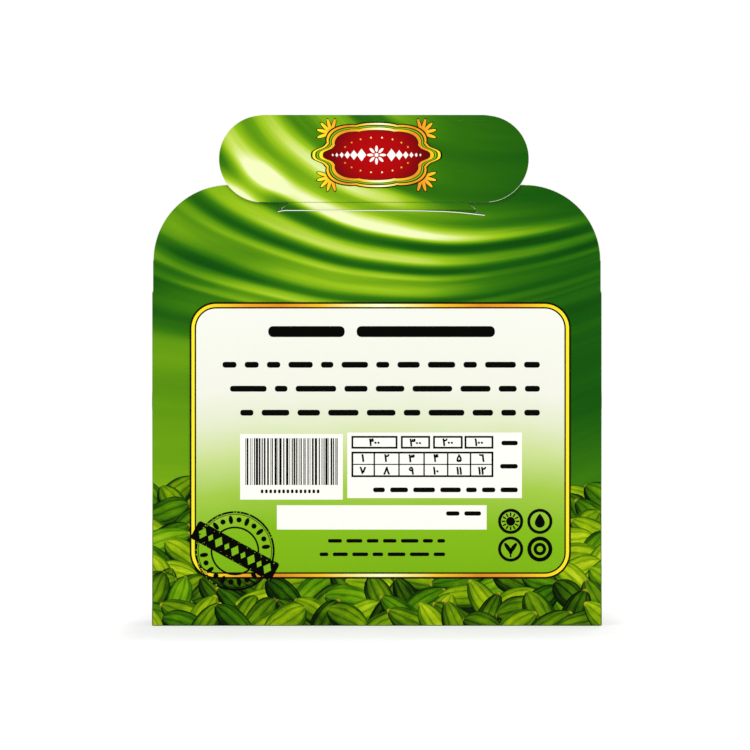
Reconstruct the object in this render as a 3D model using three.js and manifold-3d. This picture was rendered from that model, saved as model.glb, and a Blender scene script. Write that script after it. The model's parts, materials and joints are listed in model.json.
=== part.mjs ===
// A printed paperboard carton for spice pods, seen from its back.
// The back panel stands up above the box as a header with round shoulders. The lid folds up from
// the front wall, its own header stands just inside the back panel, and a round-ended closure flap
// folds over to the back, where its tongue is tucked through a slit.
// Millimetres, +Z up, the back panel faces -Y.

import * as THREE from 'three';
import { mergeVertices } from 'three/addons/utils/BufferGeometryUtils.js';
import Module from 'manifold-3d';

const wasm = await Module();
wasm.setup();

// The box
const WIDTH = 120;
const DEPTH = 30;
const BOARD = 0.5;
const WALL_HEIGHT = 89;
const BACK_HEIGHT = 117.8;
const SHOULDER_RADIUS = 20.3;
const ARC_STEPS = 12;

// The slit in the back panel and the tongue that goes through it
const SLIT_WIDTH = 55;
const SLIT_X = 1.2;
const SLIT_LOW = 109.9;
const SLIT_HIGH = 112;
const SLIT_TURN = 1.2;
const TONGUE_ROOT = 47.8;
const TONGUE_FLARE = 51.8;
const TONGUE_LOW = 97;

// The lid: the roof, and the header that stands inside the back panel
const CREASE_GAP = 0.3;
const TUCK_GAP = 1.1;
const HEADER_HEIGHT = 136.1;
const HEADER_INSET = 0.5;
const NECK_INSET = 2.9;

// The closure flap, a board with fully round ends that leans out over the back panel's top edge
const FLAP_WIDTH = 82.8;
const FLAP_HEIGHT = 23.5;
const FLAP_X = -0.8;
const FLAP_TOP = 136.4;
const FLAP_LEAN = 5.6;

// The glued bottom and the folded-in dust flaps
const GLUED_GAP = 0.1;
const DUST_FLAP = 25;
const BOTTOM_DUST_FLAP = 28;
const INNER_BOTTOM_FLAP = 22;
const GLUE_FLAP = 12;

// The pods inside
const POD_LENGTH = 14.5;
const POD_WIDTH = 7.6;
const FILL_HEIGHT = 57;
const POD_CLEARANCE = 0.6;

// The flap is the outermost thing at the back, so the box stands forward of the origin by half of
// what the flap stands out, and the origin is the middle of the whole footprint.
const backFace = -DEPTH / 2;
const headerFace = backFace + BOARD + TUCK_GAP;
const lean = THREE.MathUtils.degToRad(FLAP_LEAN);
const flapStandOut = FLAP_HEIGHT * Math.sin(lean) + (CREASE_GAP + BOARD) * Math.cos(lean);
const middle = (flapStandOut - (headerFace - backFace)) / 2;

const white = { color: 0xe9e6dc, roughness: 0.75, metalness: 0 };
const printed = { color: 0x5d9410, roughness: 0.38, metalness: 0 };
const printedRed = { color: 0x9c1d1c, roughness: 0.38, metalness: 0 };
const podGreen = { color: 0x9aa84a, roughness: 0.8, metalness: 0 };

const part = new THREE.Group();
const box = new THREE.Group();
box.position.y = middle;
part.add(box);

function addMesh(name, geometry, look, parent = box) {
  const mesh = new THREE.Mesh(geometry, new THREE.MeshStandardMaterial(look));
  mesh.name = name;
  parent.add(mesh);
  return mesh;
}

// A flat panel of board between two corners
function panel(name, low, high, look) {
  const size = high.map((value, axis) => value - low[axis]);
  const mesh = addMesh(name, new THREE.BoxGeometry(...size), look);
  mesh.position.set(...low.map((value, axis) => value + size[axis] / 2));
  return mesh;
}

// An outline drawn as x and height, given a thickness that runs from y to y + thickness
function upright(outline, y, thickness = BOARD) {
  const geometry = new THREE.ExtrudeGeometry(outline, {
    depth: thickness,
    bevelEnabled: false,
    curveSegments: ARC_STEPS,
  });
  geometry.rotateX(Math.PI / 2);
  geometry.translate(0, y + thickness, 0);
  return geometry;
}

function toSolid(geometry) {
  const bare = geometry.index ? geometry.toNonIndexed() : geometry.clone();
  bare.deleteAttribute('normal');
  bare.deleteAttribute('uv');
  const merged = mergeVertices(bare, 1e-4);
  return new wasm.Manifold(new wasm.Mesh({
    numProp: 3,
    vertProperties: merged.getAttribute('position').array,
    triVerts: Uint32Array.from(merged.index.array),
  }));
}

function toGeometry(solid) {
  const mesh = solid.getMesh();
  const geometry = new THREE.BufferGeometry();
  geometry.setAttribute('position', new THREE.BufferAttribute(mesh.vertProperties, 3));
  geometry.setIndex(new THREE.BufferAttribute(mesh.triVerts, 1));
  geometry.computeVertexNormals();
  return geometry;
}

// The back panel: a wall with round shoulders, and the slit, whose ends turn down
function backPanel() {
  const side = WIDTH / 2;
  const arcX = side - SHOULDER_RADIUS;
  const arcZ = BACK_HEIGHT - SHOULDER_RADIUS;
  const outline = new THREE.Shape();
  outline.moveTo(-side, 0);
  outline.lineTo(side, 0);
  outline.absarc(arcX, arcZ, SHOULDER_RADIUS, 0, Math.PI / 2, false);
  outline.absarc(-arcX, arcZ, SHOULDER_RADIUS, Math.PI / 2, Math.PI, false);
  const left = SLIT_X - SLIT_WIDTH / 2;
  const right = SLIT_X + SLIT_WIDTH / 2;
  const slit = new THREE.Path();
  slit.moveTo(left, SLIT_LOW - SLIT_TURN);
  slit.lineTo(left + SLIT_TURN, SLIT_LOW);
  slit.lineTo(right - SLIT_TURN, SLIT_LOW);
  slit.lineTo(right, SLIT_LOW - SLIT_TURN);
  slit.lineTo(right, SLIT_LOW);
  slit.lineTo(right - 1.5 * SLIT_TURN, SLIT_HIGH);
  slit.lineTo(left + 0.4 * SLIT_TURN, SLIT_HIGH);
  slit.lineTo(left, SLIT_LOW);
  outline.holes.push(slit);
  addMesh('back_panel', upright(outline, backFace), printed);
}

// The other walls, which stand on the bottom's edges inside the back panel's plane
function walls() {
  const side = WIDTH / 2;
  const front = DEPTH / 2;
  const inner = backFace + BOARD;
  const frontHeight = WALL_HEIGHT + BOARD + CREASE_GAP;
  panel('front_panel', [-side, front - BOARD, 0], [side, front, frontHeight], printed);
  panel('left_side_panel', [-side, inner, 0], [-side + BOARD, front - BOARD, WALL_HEIGHT], printed);
  panel('right_side_panel', [side - BOARD, inner, 0], [side, front - BOARD, WALL_HEIGHT], printed);
  panel(
    'glue_seam_flap',
    [side - BOARD - GLUE_FLAP, inner + GLUED_GAP, 2 + 3 * BOARD],
    [side - BOARD - GLUED_GAP, inner + GLUED_GAP + BOARD, WALL_HEIGHT - 2],
    white,
  );
}

// The bottom: an outer flap over an inner flap over two dust flaps, glued together
function bottom() {
  const x = WIDTH / 2 - BOARD;
  const y = DEPTH / 2 - BOARD;
  const step = BOARD + GLUED_GAP;
  panel('bottom_outer_flap', [-x, -y, 0], [x, y, BOARD], printed);
  panel('bottom_inner_flap', [-x, y - INNER_BOTTOM_FLAP, step], [x, y, step + BOARD], white);
  for (const [name, sign] of [['bottom_dust_flap_left', -1], ['bottom_dust_flap_right', 1]]) {
    const ends = [sign * x, sign * (x - BOTTOM_DUST_FLAP)].sort((a, b) => a - b);
    const back = -y + BOARD + 2 * GLUED_GAP;
    panel(name, [ends[0], back, 2 * step], [ends[1], y - GLUED_GAP, 2 * step + BOARD], white);
  }
}

// The dust flaps at the top, folded in from the side walls under the roof
function dustFlaps() {
  for (const [name, sign] of [['left_dust_flap', -1], ['right_dust_flap', 1]]) {
    const ends = [sign * WIDTH / 2, sign * (WIDTH / 2 - DUST_FLAP)].sort((a, b) => a - b);
    const y = DEPTH / 2 - BOARD - CREASE_GAP;
    panel(name, [ends[0], -y + TUCK_GAP, WALL_HEIGHT], [ends[1], y, WALL_HEIGHT + BOARD], white);
  }
}

// The lid: the roof lies over the dust flaps, and the header stands up from its back edge
function lid() {
  const side = WIDTH / 2 - CREASE_GAP;
  const low = WALL_HEIGHT + BOARD + CREASE_GAP;
  panel('lid_roof', [-side, headerFace + BOARD, low], [side, DEPTH / 2, low + BOARD], printed);

  // The header's shoulders follow the back panel's, and its neck follows the closure flap
  const radius = SHOULDER_RADIUS - HEADER_INSET;
  const arcX = WIDTH / 2 - SHOULDER_RADIUS;
  const arcZ = BACK_HEIGHT - SHOULDER_RADIUS;
  const neck = FLAP_WIDTH / 2 - NECK_INSET;
  const neckRadius = FLAP_HEIGHT / 2 - NECK_INSET;
  const right = FLAP_X + neck;
  const left = FLAP_X - neck;
  const outline = new THREE.Shape();
  outline.moveTo(-side, low);
  outline.lineTo(side, low);
  outline.absarc(arcX, arcZ, radius, 0, Math.acos((right - arcX) / radius), false);
  outline.absarc(right - neckRadius, HEADER_HEIGHT - neckRadius, neckRadius, 0, Math.PI / 2, false);
  outline.absarc(left + neckRadius, HEADER_HEIGHT - neckRadius, neckRadius, Math.PI / 2, Math.PI, false);
  outline.absarc(-arcX, arcZ, radius, Math.acos((left + arcX) / radius), Math.PI, false);
  addMesh('lid_header', upright(outline, headerFace), printed);
}

// The closure flap hangs from the header's top crease and leans out
function closureFlap() {
  const radius = FLAP_HEIGHT / 2;
  const arcX = FLAP_WIDTH / 2 - radius;
  const outline = new THREE.Shape();
  outline.absarc(arcX, -radius, radius, -Math.PI / 2, Math.PI / 2, false);
  outline.absarc(-arcX, -radius, radius, Math.PI / 2, 3 * Math.PI / 2, false);
  const hinge = new THREE.Group();
  hinge.position.set(FLAP_X, headerFace, FLAP_TOP);
  hinge.rotation.x = -lean;
  box.add(hinge);
  addMesh('closure_flap', upright(outline, -CREASE_GAP - BOARD), printedRed, hinge);
}

// The tongue: one strip bent in below the flap, through the slit and down inside the back panel
function tongue() {
  const rootY = headerFace - FLAP_HEIGHT * Math.sin(lean) - (CREASE_GAP + BOARD) * Math.cos(lean);
  const rootZ = FLAP_TOP - FLAP_HEIGHT * Math.cos(lean) - CREASE_GAP;
  const insideY = backFace + BOARD + (TUCK_GAP - BOARD) / 2;
  const slope = SLIT_LOW + 0.3;
  const profile = new THREE.Shape();
  profile.moveTo(rootY, rootZ);
  profile.lineTo(insideY, slope);
  profile.lineTo(insideY, TONGUE_LOW);
  profile.lineTo(insideY + BOARD, TONGUE_LOW);
  profile.lineTo(insideY + BOARD, slope + 0.6 * BOARD);
  profile.lineTo(rootY + 1.3 * BOARD, rootZ);
  profile.closePath();
  const strip = new THREE.ExtrudeGeometry(profile, { depth: TONGUE_FLARE + 2, bevelEnabled: false });
  strip.rotateX(Math.PI / 2);
  strip.rotateZ(Math.PI / 2);
  strip.translate(SLIT_X - TONGUE_FLARE / 2 - 1, 0, 0);

  const root = TONGUE_ROOT / 2;
  const flare = TONGUE_FLARE / 2;
  const corner = 5;
  const outline = new THREE.Shape();
  outline.moveTo(-root, rootZ + 1);
  outline.lineTo(-root, rootZ);
  outline.quadraticCurveTo(-flare, rootZ - 0.6, -flare, SLIT_LOW);
  outline.lineTo(-flare + 1, TONGUE_LOW + corner);
  outline.quadraticCurveTo(-flare + 1, TONGUE_LOW, -flare + 1 + corner, TONGUE_LOW);
  outline.lineTo(flare - 1 - corner, TONGUE_LOW);
  outline.quadraticCurveTo(flare - 1, TONGUE_LOW, flare - 1, TONGUE_LOW + corner);
  outline.lineTo(flare, SLIT_LOW);
  outline.quadraticCurveTo(flare, rootZ - 0.6, root, rootZ);
  outline.lineTo(root, rootZ + 1);
  const cutter = upright(outline, rootY - 1, DEPTH / 2);
  cutter.translate(SLIT_X - 0.7, 0, 0);
  addMesh('tuck_tongue', toGeometry(toSolid(strip).intersect(toSolid(cutter))), printedRed);
}

// Seeded random numbers from 0 to 1
function makeRandom(seed) {
  let state = seed;
  return () => {
    state = (state * 1664525 + 1013904223) % 4294967296;
    return state / 4294967296;
  };
}

// One pod: a three-sided spindle with ridges along it and a short stalk end
function podGeometry(length, width) {
  const sides = 12;
  const rings = 5;
  const geometry = new THREE.SphereGeometry(1, sides, rings);
  const position = geometry.getAttribute('position');
  const point = new THREE.Vector3();
  for (let i = 0; i < position.count; i += 1) {
    point.fromBufferAttribute(position, i);
    const turn = Math.atan2(point.z, point.x);
    const ridge = 1 + 0.07 * Math.cos(3 * turn) + 0.07 * Math.cos(6 * turn);
    const fullness = 1 - 0.12 * point.y * point.y;
    const across = (width / 2) * ridge * fullness;
    position.setXYZ(i, point.x * across, point.y * length / 2, point.z * across);
  }
  geometry.rotateZ(Math.PI / 2);
  return geometry;
}

// The filling: a heap whose body is one block, with whole pods standing out of its top
function pods() {
  const random = makeRandom(41);
  const x = WIDTH / 2 - BOARD - POD_CLEARANCE;
  const yLow = backFace + 2 * BOARD + GLUED_GAP + POD_CLEARANCE;
  const yHigh = DEPTH / 2 - BOARD - POD_CLEARANCE;
  const floor = 3 * (BOARD + GLUED_GAP) + POD_CLEARANCE / 2;
  const core = new THREE.BoxGeometry(2 * x - 1, yHigh - yLow - 1, FILL_HEIGHT - floor);
  core.translate(0, (yLow + yHigh) / 2, (FILL_HEIGHT + floor) / 2);
  let heap = toSolid(core);
  const columns = 11;
  const rows = 3;
  for (let layer = 0; layer < 2; layer += 1) {
    for (let column = 0; column < columns; column += 1) {
      for (let row = 0; row < rows; row += 1) {
        const length = POD_LENGTH * (0.85 + 0.3 * random());
        const width = POD_WIDTH * (0.88 + 0.24 * random());
        const yaw = Math.PI * random();
        const pitch = 0.7 * (random() - 0.5);
        const reachX = 0.5 * (length * Math.abs(Math.cos(yaw)) + width * Math.abs(Math.sin(yaw))) + 0.6;
        const reachY = 0.5 * (length * Math.abs(Math.sin(yaw)) + width * Math.abs(Math.cos(yaw))) + 0.6;
        const across = (column + 0.5 + 0.5 * (random() - 0.5)) / columns;
        const deep = (row + 0.5 + 0.5 * (random() - 0.5)) / rows;
        const lift = layer * 4.2 + 1.6 * random();
        if (layer === 1 && random() < 0.45) continue;
        const pod = podGeometry(length, width);
        pod.rotateX(2 * Math.PI * random());
        pod.rotateY(pitch);
        pod.rotateZ(yaw);
        pod.translate(
          THREE.MathUtils.clamp(-x + 2 * x * across, -x + reachX, x - reachX),
          THREE.MathUtils.clamp(yLow + (yHigh - yLow) * deep, yLow + reachY, yHigh - reachY),
          FILL_HEIGHT + 0.5 + lift,
        );
        heap = heap.add(toSolid(pod));
      }
    }
  }
  // Hollows closed in between pods and any pod that touches nothing come apart here
  const pieces = heap.decompose().sort((a, b) => b.volume() - a.volume());
  addMesh('pod_filling', toGeometry(pieces[0]), podGreen);
}

backPanel();
walls();
bottom();
dustFlaps();
lid();
closureFlap();
tongue();
pods();

export default part;
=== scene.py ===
# %% [markdown]
# A small printed paperboard carton for spice pods, closed, seen from its back. The frame holds its
# panels, joints and sizes as flat plates. This notebook dresses them: folded board with round
# creases and pale cut edges, a glossy print, and the pods inside.

# %% Load the frame
import itertools
import json
import math
import random

import bmesh
import bpy
from mathutils import Matrix, Vector
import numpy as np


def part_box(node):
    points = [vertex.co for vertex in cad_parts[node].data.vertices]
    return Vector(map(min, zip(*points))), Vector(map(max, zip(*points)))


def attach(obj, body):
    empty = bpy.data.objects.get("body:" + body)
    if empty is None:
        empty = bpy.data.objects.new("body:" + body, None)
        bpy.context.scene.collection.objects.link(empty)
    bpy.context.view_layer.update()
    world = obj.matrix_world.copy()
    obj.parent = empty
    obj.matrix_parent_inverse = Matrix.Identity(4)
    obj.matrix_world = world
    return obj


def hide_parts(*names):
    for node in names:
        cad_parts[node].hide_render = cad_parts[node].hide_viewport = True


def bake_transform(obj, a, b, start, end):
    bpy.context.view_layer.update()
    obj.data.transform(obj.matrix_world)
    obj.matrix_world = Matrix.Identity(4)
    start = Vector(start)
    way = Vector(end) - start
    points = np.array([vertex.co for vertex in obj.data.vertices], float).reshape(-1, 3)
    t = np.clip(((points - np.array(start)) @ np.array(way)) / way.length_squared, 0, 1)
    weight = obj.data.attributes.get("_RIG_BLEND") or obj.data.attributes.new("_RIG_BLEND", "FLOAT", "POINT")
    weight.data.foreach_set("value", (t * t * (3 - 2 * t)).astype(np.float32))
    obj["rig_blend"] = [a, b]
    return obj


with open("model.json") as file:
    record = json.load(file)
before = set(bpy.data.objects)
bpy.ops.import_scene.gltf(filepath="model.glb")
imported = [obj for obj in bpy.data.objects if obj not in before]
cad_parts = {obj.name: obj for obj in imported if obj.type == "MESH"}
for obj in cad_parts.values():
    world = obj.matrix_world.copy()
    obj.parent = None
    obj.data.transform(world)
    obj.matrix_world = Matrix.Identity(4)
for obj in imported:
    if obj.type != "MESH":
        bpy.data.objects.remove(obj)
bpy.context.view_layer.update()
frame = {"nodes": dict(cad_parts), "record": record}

MM = 0.001

# %% [markdown]
# The main sizes come from the frame's own plates, so a new frame moves the dressing with it. A box
# of a plate gives its lowest and highest corner, and a few of those corners are all that the later
# cells need.

# %% Sizes from the frame
back_low, back_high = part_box("back_panel")
roof_low, roof_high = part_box("lid_roof")
flap_low, flap_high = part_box("closure_flap")
heap_low, heap_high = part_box("pod_filling")
header_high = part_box("lid_header")[1]

BACK = back_low[1]
BOARD = back_high[1] - back_low[1]
HALF_WIDTH = back_high[0]
BACK_TOP = back_high[2]
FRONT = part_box("front_panel")[1][1]
WALL_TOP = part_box("left_side_panel")[1][2]
TONGUE_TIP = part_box("tuck_tongue")[0][2]
FLAP_MIDDLE = (flap_low[0] + flap_high[0]) / 2
FLAP_WIDTH = flap_high[0] - flap_low[0]
fold = next(joint for joint in frame["record"]["behaviour"]["joints"] if joint["name"] == "flap_fold")
FOLD = Vector(fold["pos_m"])
FLAP_LENGTH = FOLD.z - flap_low[2]
print("board", round(BOARD / MM, 2), "mm, back", round(BACK_TOP / MM, 1), "mm high")

# %% [markdown]
# The camera stands square to the back panel, far away, so that no side shows. One pixel of the
# photograph is 0.267 mm on the panel, which sets the lens. The world is white where the camera sees
# it, and gives a little less light than that, so that three large soft lights can model the folds
# of the board. The floor is nearly as bright as the world, so the shadow stays faint.


# %% Camera and light
def new_object(name, data):
    """An object in the scene."""
    made = bpy.data.objects.new(name, data)
    bpy.context.scene.collection.objects.link(made)
    return made


def new_mesh(name, bm):
    """A mesh from a bmesh, which is used up."""
    mesh = bpy.data.meshes.new(name)
    bm.to_mesh(mesh)
    bm.free()
    return mesh


PIXEL = 0.267 * MM
PHOTO_SIDE = 750
PHOTO_MIDDLE_X = 376.9
PHOTO_BASE = 625.8
CAMERA_DISTANCE = 1.1
SENSOR = 36
WORLD_LIGHT = 0.62
LIGHT_AIM = Vector((0, 0, 0.06))

camera_data = bpy.data.cameras.new("camera")
camera_data.sensor_width = SENSOR
camera_data.lens = SENSOR * (CAMERA_DISTANCE + BACK) / (PHOTO_SIDE * PIXEL)
camera = new_object("camera", camera_data)
camera.location = (
    (PHOTO_SIDE / 2 - PHOTO_MIDDLE_X) * PIXEL,
    -CAMERA_DISTANCE,
    (PHOTO_BASE - PHOTO_SIDE / 2) * PIXEL,
)
camera.rotation_euler = (math.pi / 2, 0, 0)
bpy.context.scene.camera = camera
bpy.context.scene.view_settings.view_transform = "Standard"

world = bpy.data.worlds.new("studio")
bpy.context.scene.world = world
world.use_nodes = True
backdrop = world.node_tree.nodes["Background"]
backdrop.inputs["Color"].default_value = (1, 1, 1, 1)
seen = world.node_tree.nodes.new("ShaderNodeLightPath")
strength = world.node_tree.nodes.new("ShaderNodeMapRange")
strength.inputs["To Min"].default_value = WORLD_LIGHT
strength.inputs["To Max"].default_value = 1.0
world.node_tree.links.new(seen.outputs["Is Camera Ray"], strength.inputs["Value"])
world.node_tree.links.new(strength.outputs[0], backdrop.inputs["Strength"])


def soft_light(name, place, size, power):
    data = bpy.data.lights.new(name, "AREA")
    data.shape = "SQUARE"
    data.size = size
    data.energy = power
    lamp = new_object(name, data)
    lamp.location = place
    lamp.rotation_euler = (LIGHT_AIM - Vector(place)).to_track_quat("-Z", "Y").to_euler()


soft_light("key_light", (-0.55, -0.8, 1.05), 0.45, 6.8)
soft_light("fill_light", (0.9, -0.7, 0.4), 0.8, 2.0)
soft_light("far_light", (0.5, 1.1, 0.8), 0.8, 6.0)
print("lens", round(camera_data.lens, 1), "mm")

# %% [markdown]
# Materials are written as expressions. A Value wraps a socket, and each operator on it adds a Math
# node. A Recipe makes one material, and its node method makes any other node from its type,
# its settings and its inputs. Colours are given as the screen shows them and turned linear.


# %% Shader helpers
def screen(red, green, blue):
    """A linear colour from the 0 to 255 values of a screen."""
    linear = [c / 12.92 if c <= 0.04045 else ((c + 0.055) / 1.055) ** 2.4
              for c in (red / 255, green / 255, blue / 255)]
    return (*linear, 1)


class Value:
    """A socket that can be used in sums, products and the like."""

    def __init__(self, recipe, socket):
        self.recipe = recipe
        self.socket = socket

    def math(self, operation, *others, clamp=False):
        inputs = dict(enumerate((self, *others)))
        return self.recipe.node("ShaderNodeMath", {"operation": operation, "use_clamp": clamp}, inputs)

    def __add__(self, other):
        return self.math("ADD", other)

    def __sub__(self, other):
        return self.math("SUBTRACT", other)

    def __mul__(self, other):
        return self.math("MULTIPLY", other)

    def __truediv__(self, other):
        return self.math("DIVIDE", other)

    def __pow__(self, other):
        return self.math("POWER", other)

    def __rsub__(self, other):
        return self * -1 + other

    def __neg__(self):
        return self * -1

    __radd__ = __add__
    __rmul__ = __mul__

    def clamp(self):
        return self.math("ADD", 0, clamp=True)

    def bell(self, centre, width):
        """1 at the centre, falling softly to 0 on both sides."""
        offset = (self - centre) / width
        return (offset * offset * -1).math("EXPONENT")

    def step(self, start, end):
        """0 at start, 1 at end, smooth between."""
        settings = {"interpolation_type": "SMOOTHSTEP"}
        inputs = {"Value": self, "From Min": start, "From Max": end}
        return self.recipe.node("ShaderNodeMapRange", settings, inputs)


class Recipe:
    """One material, built node by node."""

    def __init__(self, name):
        self.material = bpy.data.materials.new(name)
        self.material.use_nodes = True
        self.tree = self.material.node_tree
        self.tree.nodes.clear()

    def node(self, kind, settings=None, inputs=None, output=0):
        made = self.tree.nodes.new(kind)
        for key, value in (settings or {}).items():
            if key == "stops":
                self.set_stops(made.color_ramp, value)
            else:
                setattr(made, key, value)
        for key, value in (inputs or {}).items():
            if isinstance(value, Value):
                self.tree.links.new(value.socket, made.inputs[key])
            else:
                made.inputs[key].default_value = value
        return Value(self, made.outputs[output]) if made.outputs else None

    def set_stops(self, ramp, stops):
        while len(ramp.elements) < len(stops):
            ramp.elements.new(1)
        for element, (place, colour) in zip(ramp.elements, stops):
            element.position = place
            element.color = colour

    def ramp(self, value, *stops):
        """Colours along a value from 0 to 1. A stop is its place and its screen colour."""
        colours = [(place, screen(*colour)) for place, *colour in stops]
        return self.node("ShaderNodeValToRGB", {"stops": colours}, {"Fac": value})

    def blend(self, factor, first, second, kind="MIX"):
        settings = {"data_type": "RGBA", "blend_type": kind, "clamp_factor": True}
        return self.node("ShaderNodeMix", settings, {0: factor, 6: first, 7: second}, output=2)

    def split(self, point):
        """The three parts of a vector."""
        first = self.node("ShaderNodeSeparateXYZ", {}, {0: point})
        return [Value(self, socket) for socket in first.socket.node.outputs]

    def place(self):
        """X, Y and Z in millimetres, in the carton's own frame."""
        return [part / MM for part in self.split(self.node("ShaderNodeTexCoord", output=3))]

    def attribute(self, name, output=2):
        return self.node("ShaderNodeAttribute", {"attribute_name": name}, output=output)

    def vector(self, x, y, z):
        return self.node("ShaderNodeCombineXYZ", {}, {"X": x, "Y": y, "Z": z})

    def noise(self, x, y, z, detail=2.0, rough=0.5):
        inputs = {"Vector": self.vector(x, y, z), "Scale": 1.0, "Detail": detail, "Roughness": rough}
        return self.node("ShaderNodeTexNoise", {}, inputs)

    def grain(self, place, scale, detail=2.0, rough=0.5):
        """Noise over a place, the same in all directions."""
        return self.noise(*[part * scale for part in place], detail, rough)

    def finish(self, colour, roughness, specular, height, depth):
        """The surface itself. Its bump has a height of 0 to 1 and a depth in millimetres."""
        bump = self.node("ShaderNodeBump", {}, {"Height": height, "Distance": depth * MM, "Strength": 1.0})
        self.surface({"Base Color": colour, "Roughness": roughness, "Specular IOR Level": specular,
                      "Normal": bump})
        return self.material

    def surface(self, inputs):
        principled = self.node("ShaderNodeBsdfPrincipled", {}, inputs)
        self.node("ShaderNodeOutputMaterial", {}, {"Surface": principled})


# %% [markdown]
# The floor is a plain pale sheet. Most of its brightness is its own, which keeps the shadow under
# the carton faint. A soft grey shadow is painted round the foot of the carton, wider before it than
# beside it, as a contact shadow lies on a studio sheet.

# %% The floor
FLOOR_HALF = 4
FLOOR_DROP = 0.03 * MM
SHADE_BESIDE = 10
SHADE_BEFORE = 69
SHADE_MOST = 0.27
FLOOR_GLOW = 0.84

floor_bm = bmesh.new()
bmesh.ops.create_grid(floor_bm, x_segments=1, y_segments=1, size=FLOOR_HALF)
bmesh.ops.translate(floor_bm, vec=(0, 0, -FLOOR_DROP), verts=floor_bm.verts)
floor = new_object("floor", new_mesh("floor", floor_bm))
floor_recipe = Recipe("floor_white")
floor_x, floor_y = floor_recipe.place()[:2]
# shade is a painted shadow round the carton's foot, taken out of the floor's own glow.
beside = (floor_x.math("ABSOLUTE") - HALF_WIDTH / MM).math("MAXIMUM", 0) / SHADE_BESIDE
before = (floor_y.math("ABSOLUTE") - FRONT / MM).math("MAXIMUM", 0) / SHADE_BEFORE
shade = (-(beside * beside + before ** 4)).math("EXPONENT") * SHADE_MOST
floor_recipe.surface({
    "Base Color": (0.3, 0.3, 0.3, 1),
    "Roughness": 0.6,
    "Specular IOR Level": 0.1,
    "Emission Color": floor_recipe.ramp(shade, (0.0, 255, 255, 255), (1.0, 0, 0, 0)),
    "Emission Strength": FLOOR_GLOW,
})
floor.data.materials.append(floor_recipe.material)

# %% [markdown]
# The print is a flowing green ground: soft streaks of light that sweep round a far point above the
# panel, like silk. It could be painted as an image, but a formula stays sharp at any size. The
# distance from that far point gives each streak its place, and a fan factor spreads the streaks
# towards the left. All brightness goes through one ramp from dark green to pale yellow.

# %% The flowing green print
SWEEP_X = 24
SWEEP_Z = 224
SWEEP_REACH = 120
STREAKS = (
    (-25.0, 4.5, 0.30), (-14.0, 3.6, 0.26), (-5.8, 2.2, 0.44), (0.8, 1.9, 0.74), (7.0, 1.7, 0.50),
    (11.2, 0.8, 0.24), (15.0, 2.0, 0.30), (18.8, 0.8, 0.34), (20.9, 0.6, 0.28), (24.4, 1.6, 0.20),
)
SHADES = (
    (-19.0, 3.0, 0.20), (-9.4, 1.6, 0.22), (3.8, 1.5, 0.32), (9.6, 1.0, 0.18), (16.9, 0.9, 0.20),
    (27.4, 2.6, 0.24),
)
GREENS = (
    (0.00, 4, 54, 4), (0.20, 20, 84, 8), (0.40, 54, 116, 8), (0.58, 102, 154, 14),
    (0.74, 146, 187, 24), (0.87, 190, 213, 84), (1.00, 232, 240, 182),
)


def silk_fold(band, place, width):
    """A streak of light with a soft upper and a crisp lower side, as a fold of silk has."""
    offset = (band - place) / width
    offset = offset + offset.math("ABSOLUTE") * 0.42
    return (offset * offset * -1).math("EXPONENT")


def flowing_green(recipe, across, up, mirror=1, pool=False):
    """The print's colour at a point across and up a panel. pool adds the flap's pale corner."""
    across = across * mirror
    dx = across - SWEEP_X
    dz = SWEEP_Z - up
    reach = (dx * dx + dz * dz).math("SQRT") - SWEEP_REACH
    turn = dx.math("ARCTAN2", dz)
    fan = (turn * 0.85 + 1).math("MAXIMUM", 0.35)
    sway = (recipe.noise(turn * 2.4, 5.0, 1.0, 1.0) - 0.5) * 3
    band = reach * fan + turn * turn * 10 + sway
    calm = across.step(2, 22) * up.step(103, 115)
    calm_right = across.step(8, 40) * up.step(102, 95) * 0.6
    strength = (turn.step(0.40, -0.14) * turn.step(-0.95, -0.3) * 0.78 + 0.24) * (1 - calm * 0.9)
    strength = strength * (1 - calm_right)
    silk = recipe.noise(band * 0.20, turn * 1.4, 3.0, 3.0, 0.55)
    calm_low = (up.step(94, 70) * 0.75).math("MAXIMUM", calm_right)
    light = 0.39 + (silk - 0.5) * 0.62 * (1 - calm * 0.8) * (1 - calm_low) - across.step(-10, 55) * 0.20
    light = light - across.step(-18, -54) * up.bell(95, 7) * 0.26
    light = light + across.step(0, -50) * up.bell(74, 9) * 0.1
    light = light + up.step(96, 24) * across.step(16, -60) * 0.24
    light = light + up.step(64, 24) * across.step(20, 60) * 0.30
    if pool:
        pool_x, pool_z = (across + 35) / 11, (up - 116) / 7
        pool_shine = (-(pool_x * pool_x + pool_z * pool_z)).math("EXPONENT")
        light = light + pool_shine * across.step(-20, -31) * 0.5
    for place, width, power in STREAKS:
        light = light + silk_fold(band, place, width) * strength * power
    for place, width, power in SHADES:
        light = light - silk_fold(band, place, width) * strength * power
    return recipe.ramp(light.clamp(), *GREENS)


def heap_ground(recipe, colour, across, up):
    """Darkens the lower rim, where the printed pods lie."""
    beside = across.math("ABSOLUTE")
    rim = beside.step(43, 55) * 22 + 12
    grain = recipe.noise(across * 0.25, up * 0.25, 1.0) * 5
    ground = recipe.blend(beside.step(59.3, 59.6), screen(12, 34, 5), screen(72, 112, 8))
    return recipe.blend((rim + grain - up - 3).step(-3, 2), colour, ground)


# %% [markdown]
# Board has a printed and varnished side, a bare side, and cut edges. Varnish on board is glossy but
# never flat: the fibres below give a fine orange-peel bump. The bare side is greyish white with
# fibres in it, and a cut edge shows the paler middle of the board.


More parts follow.
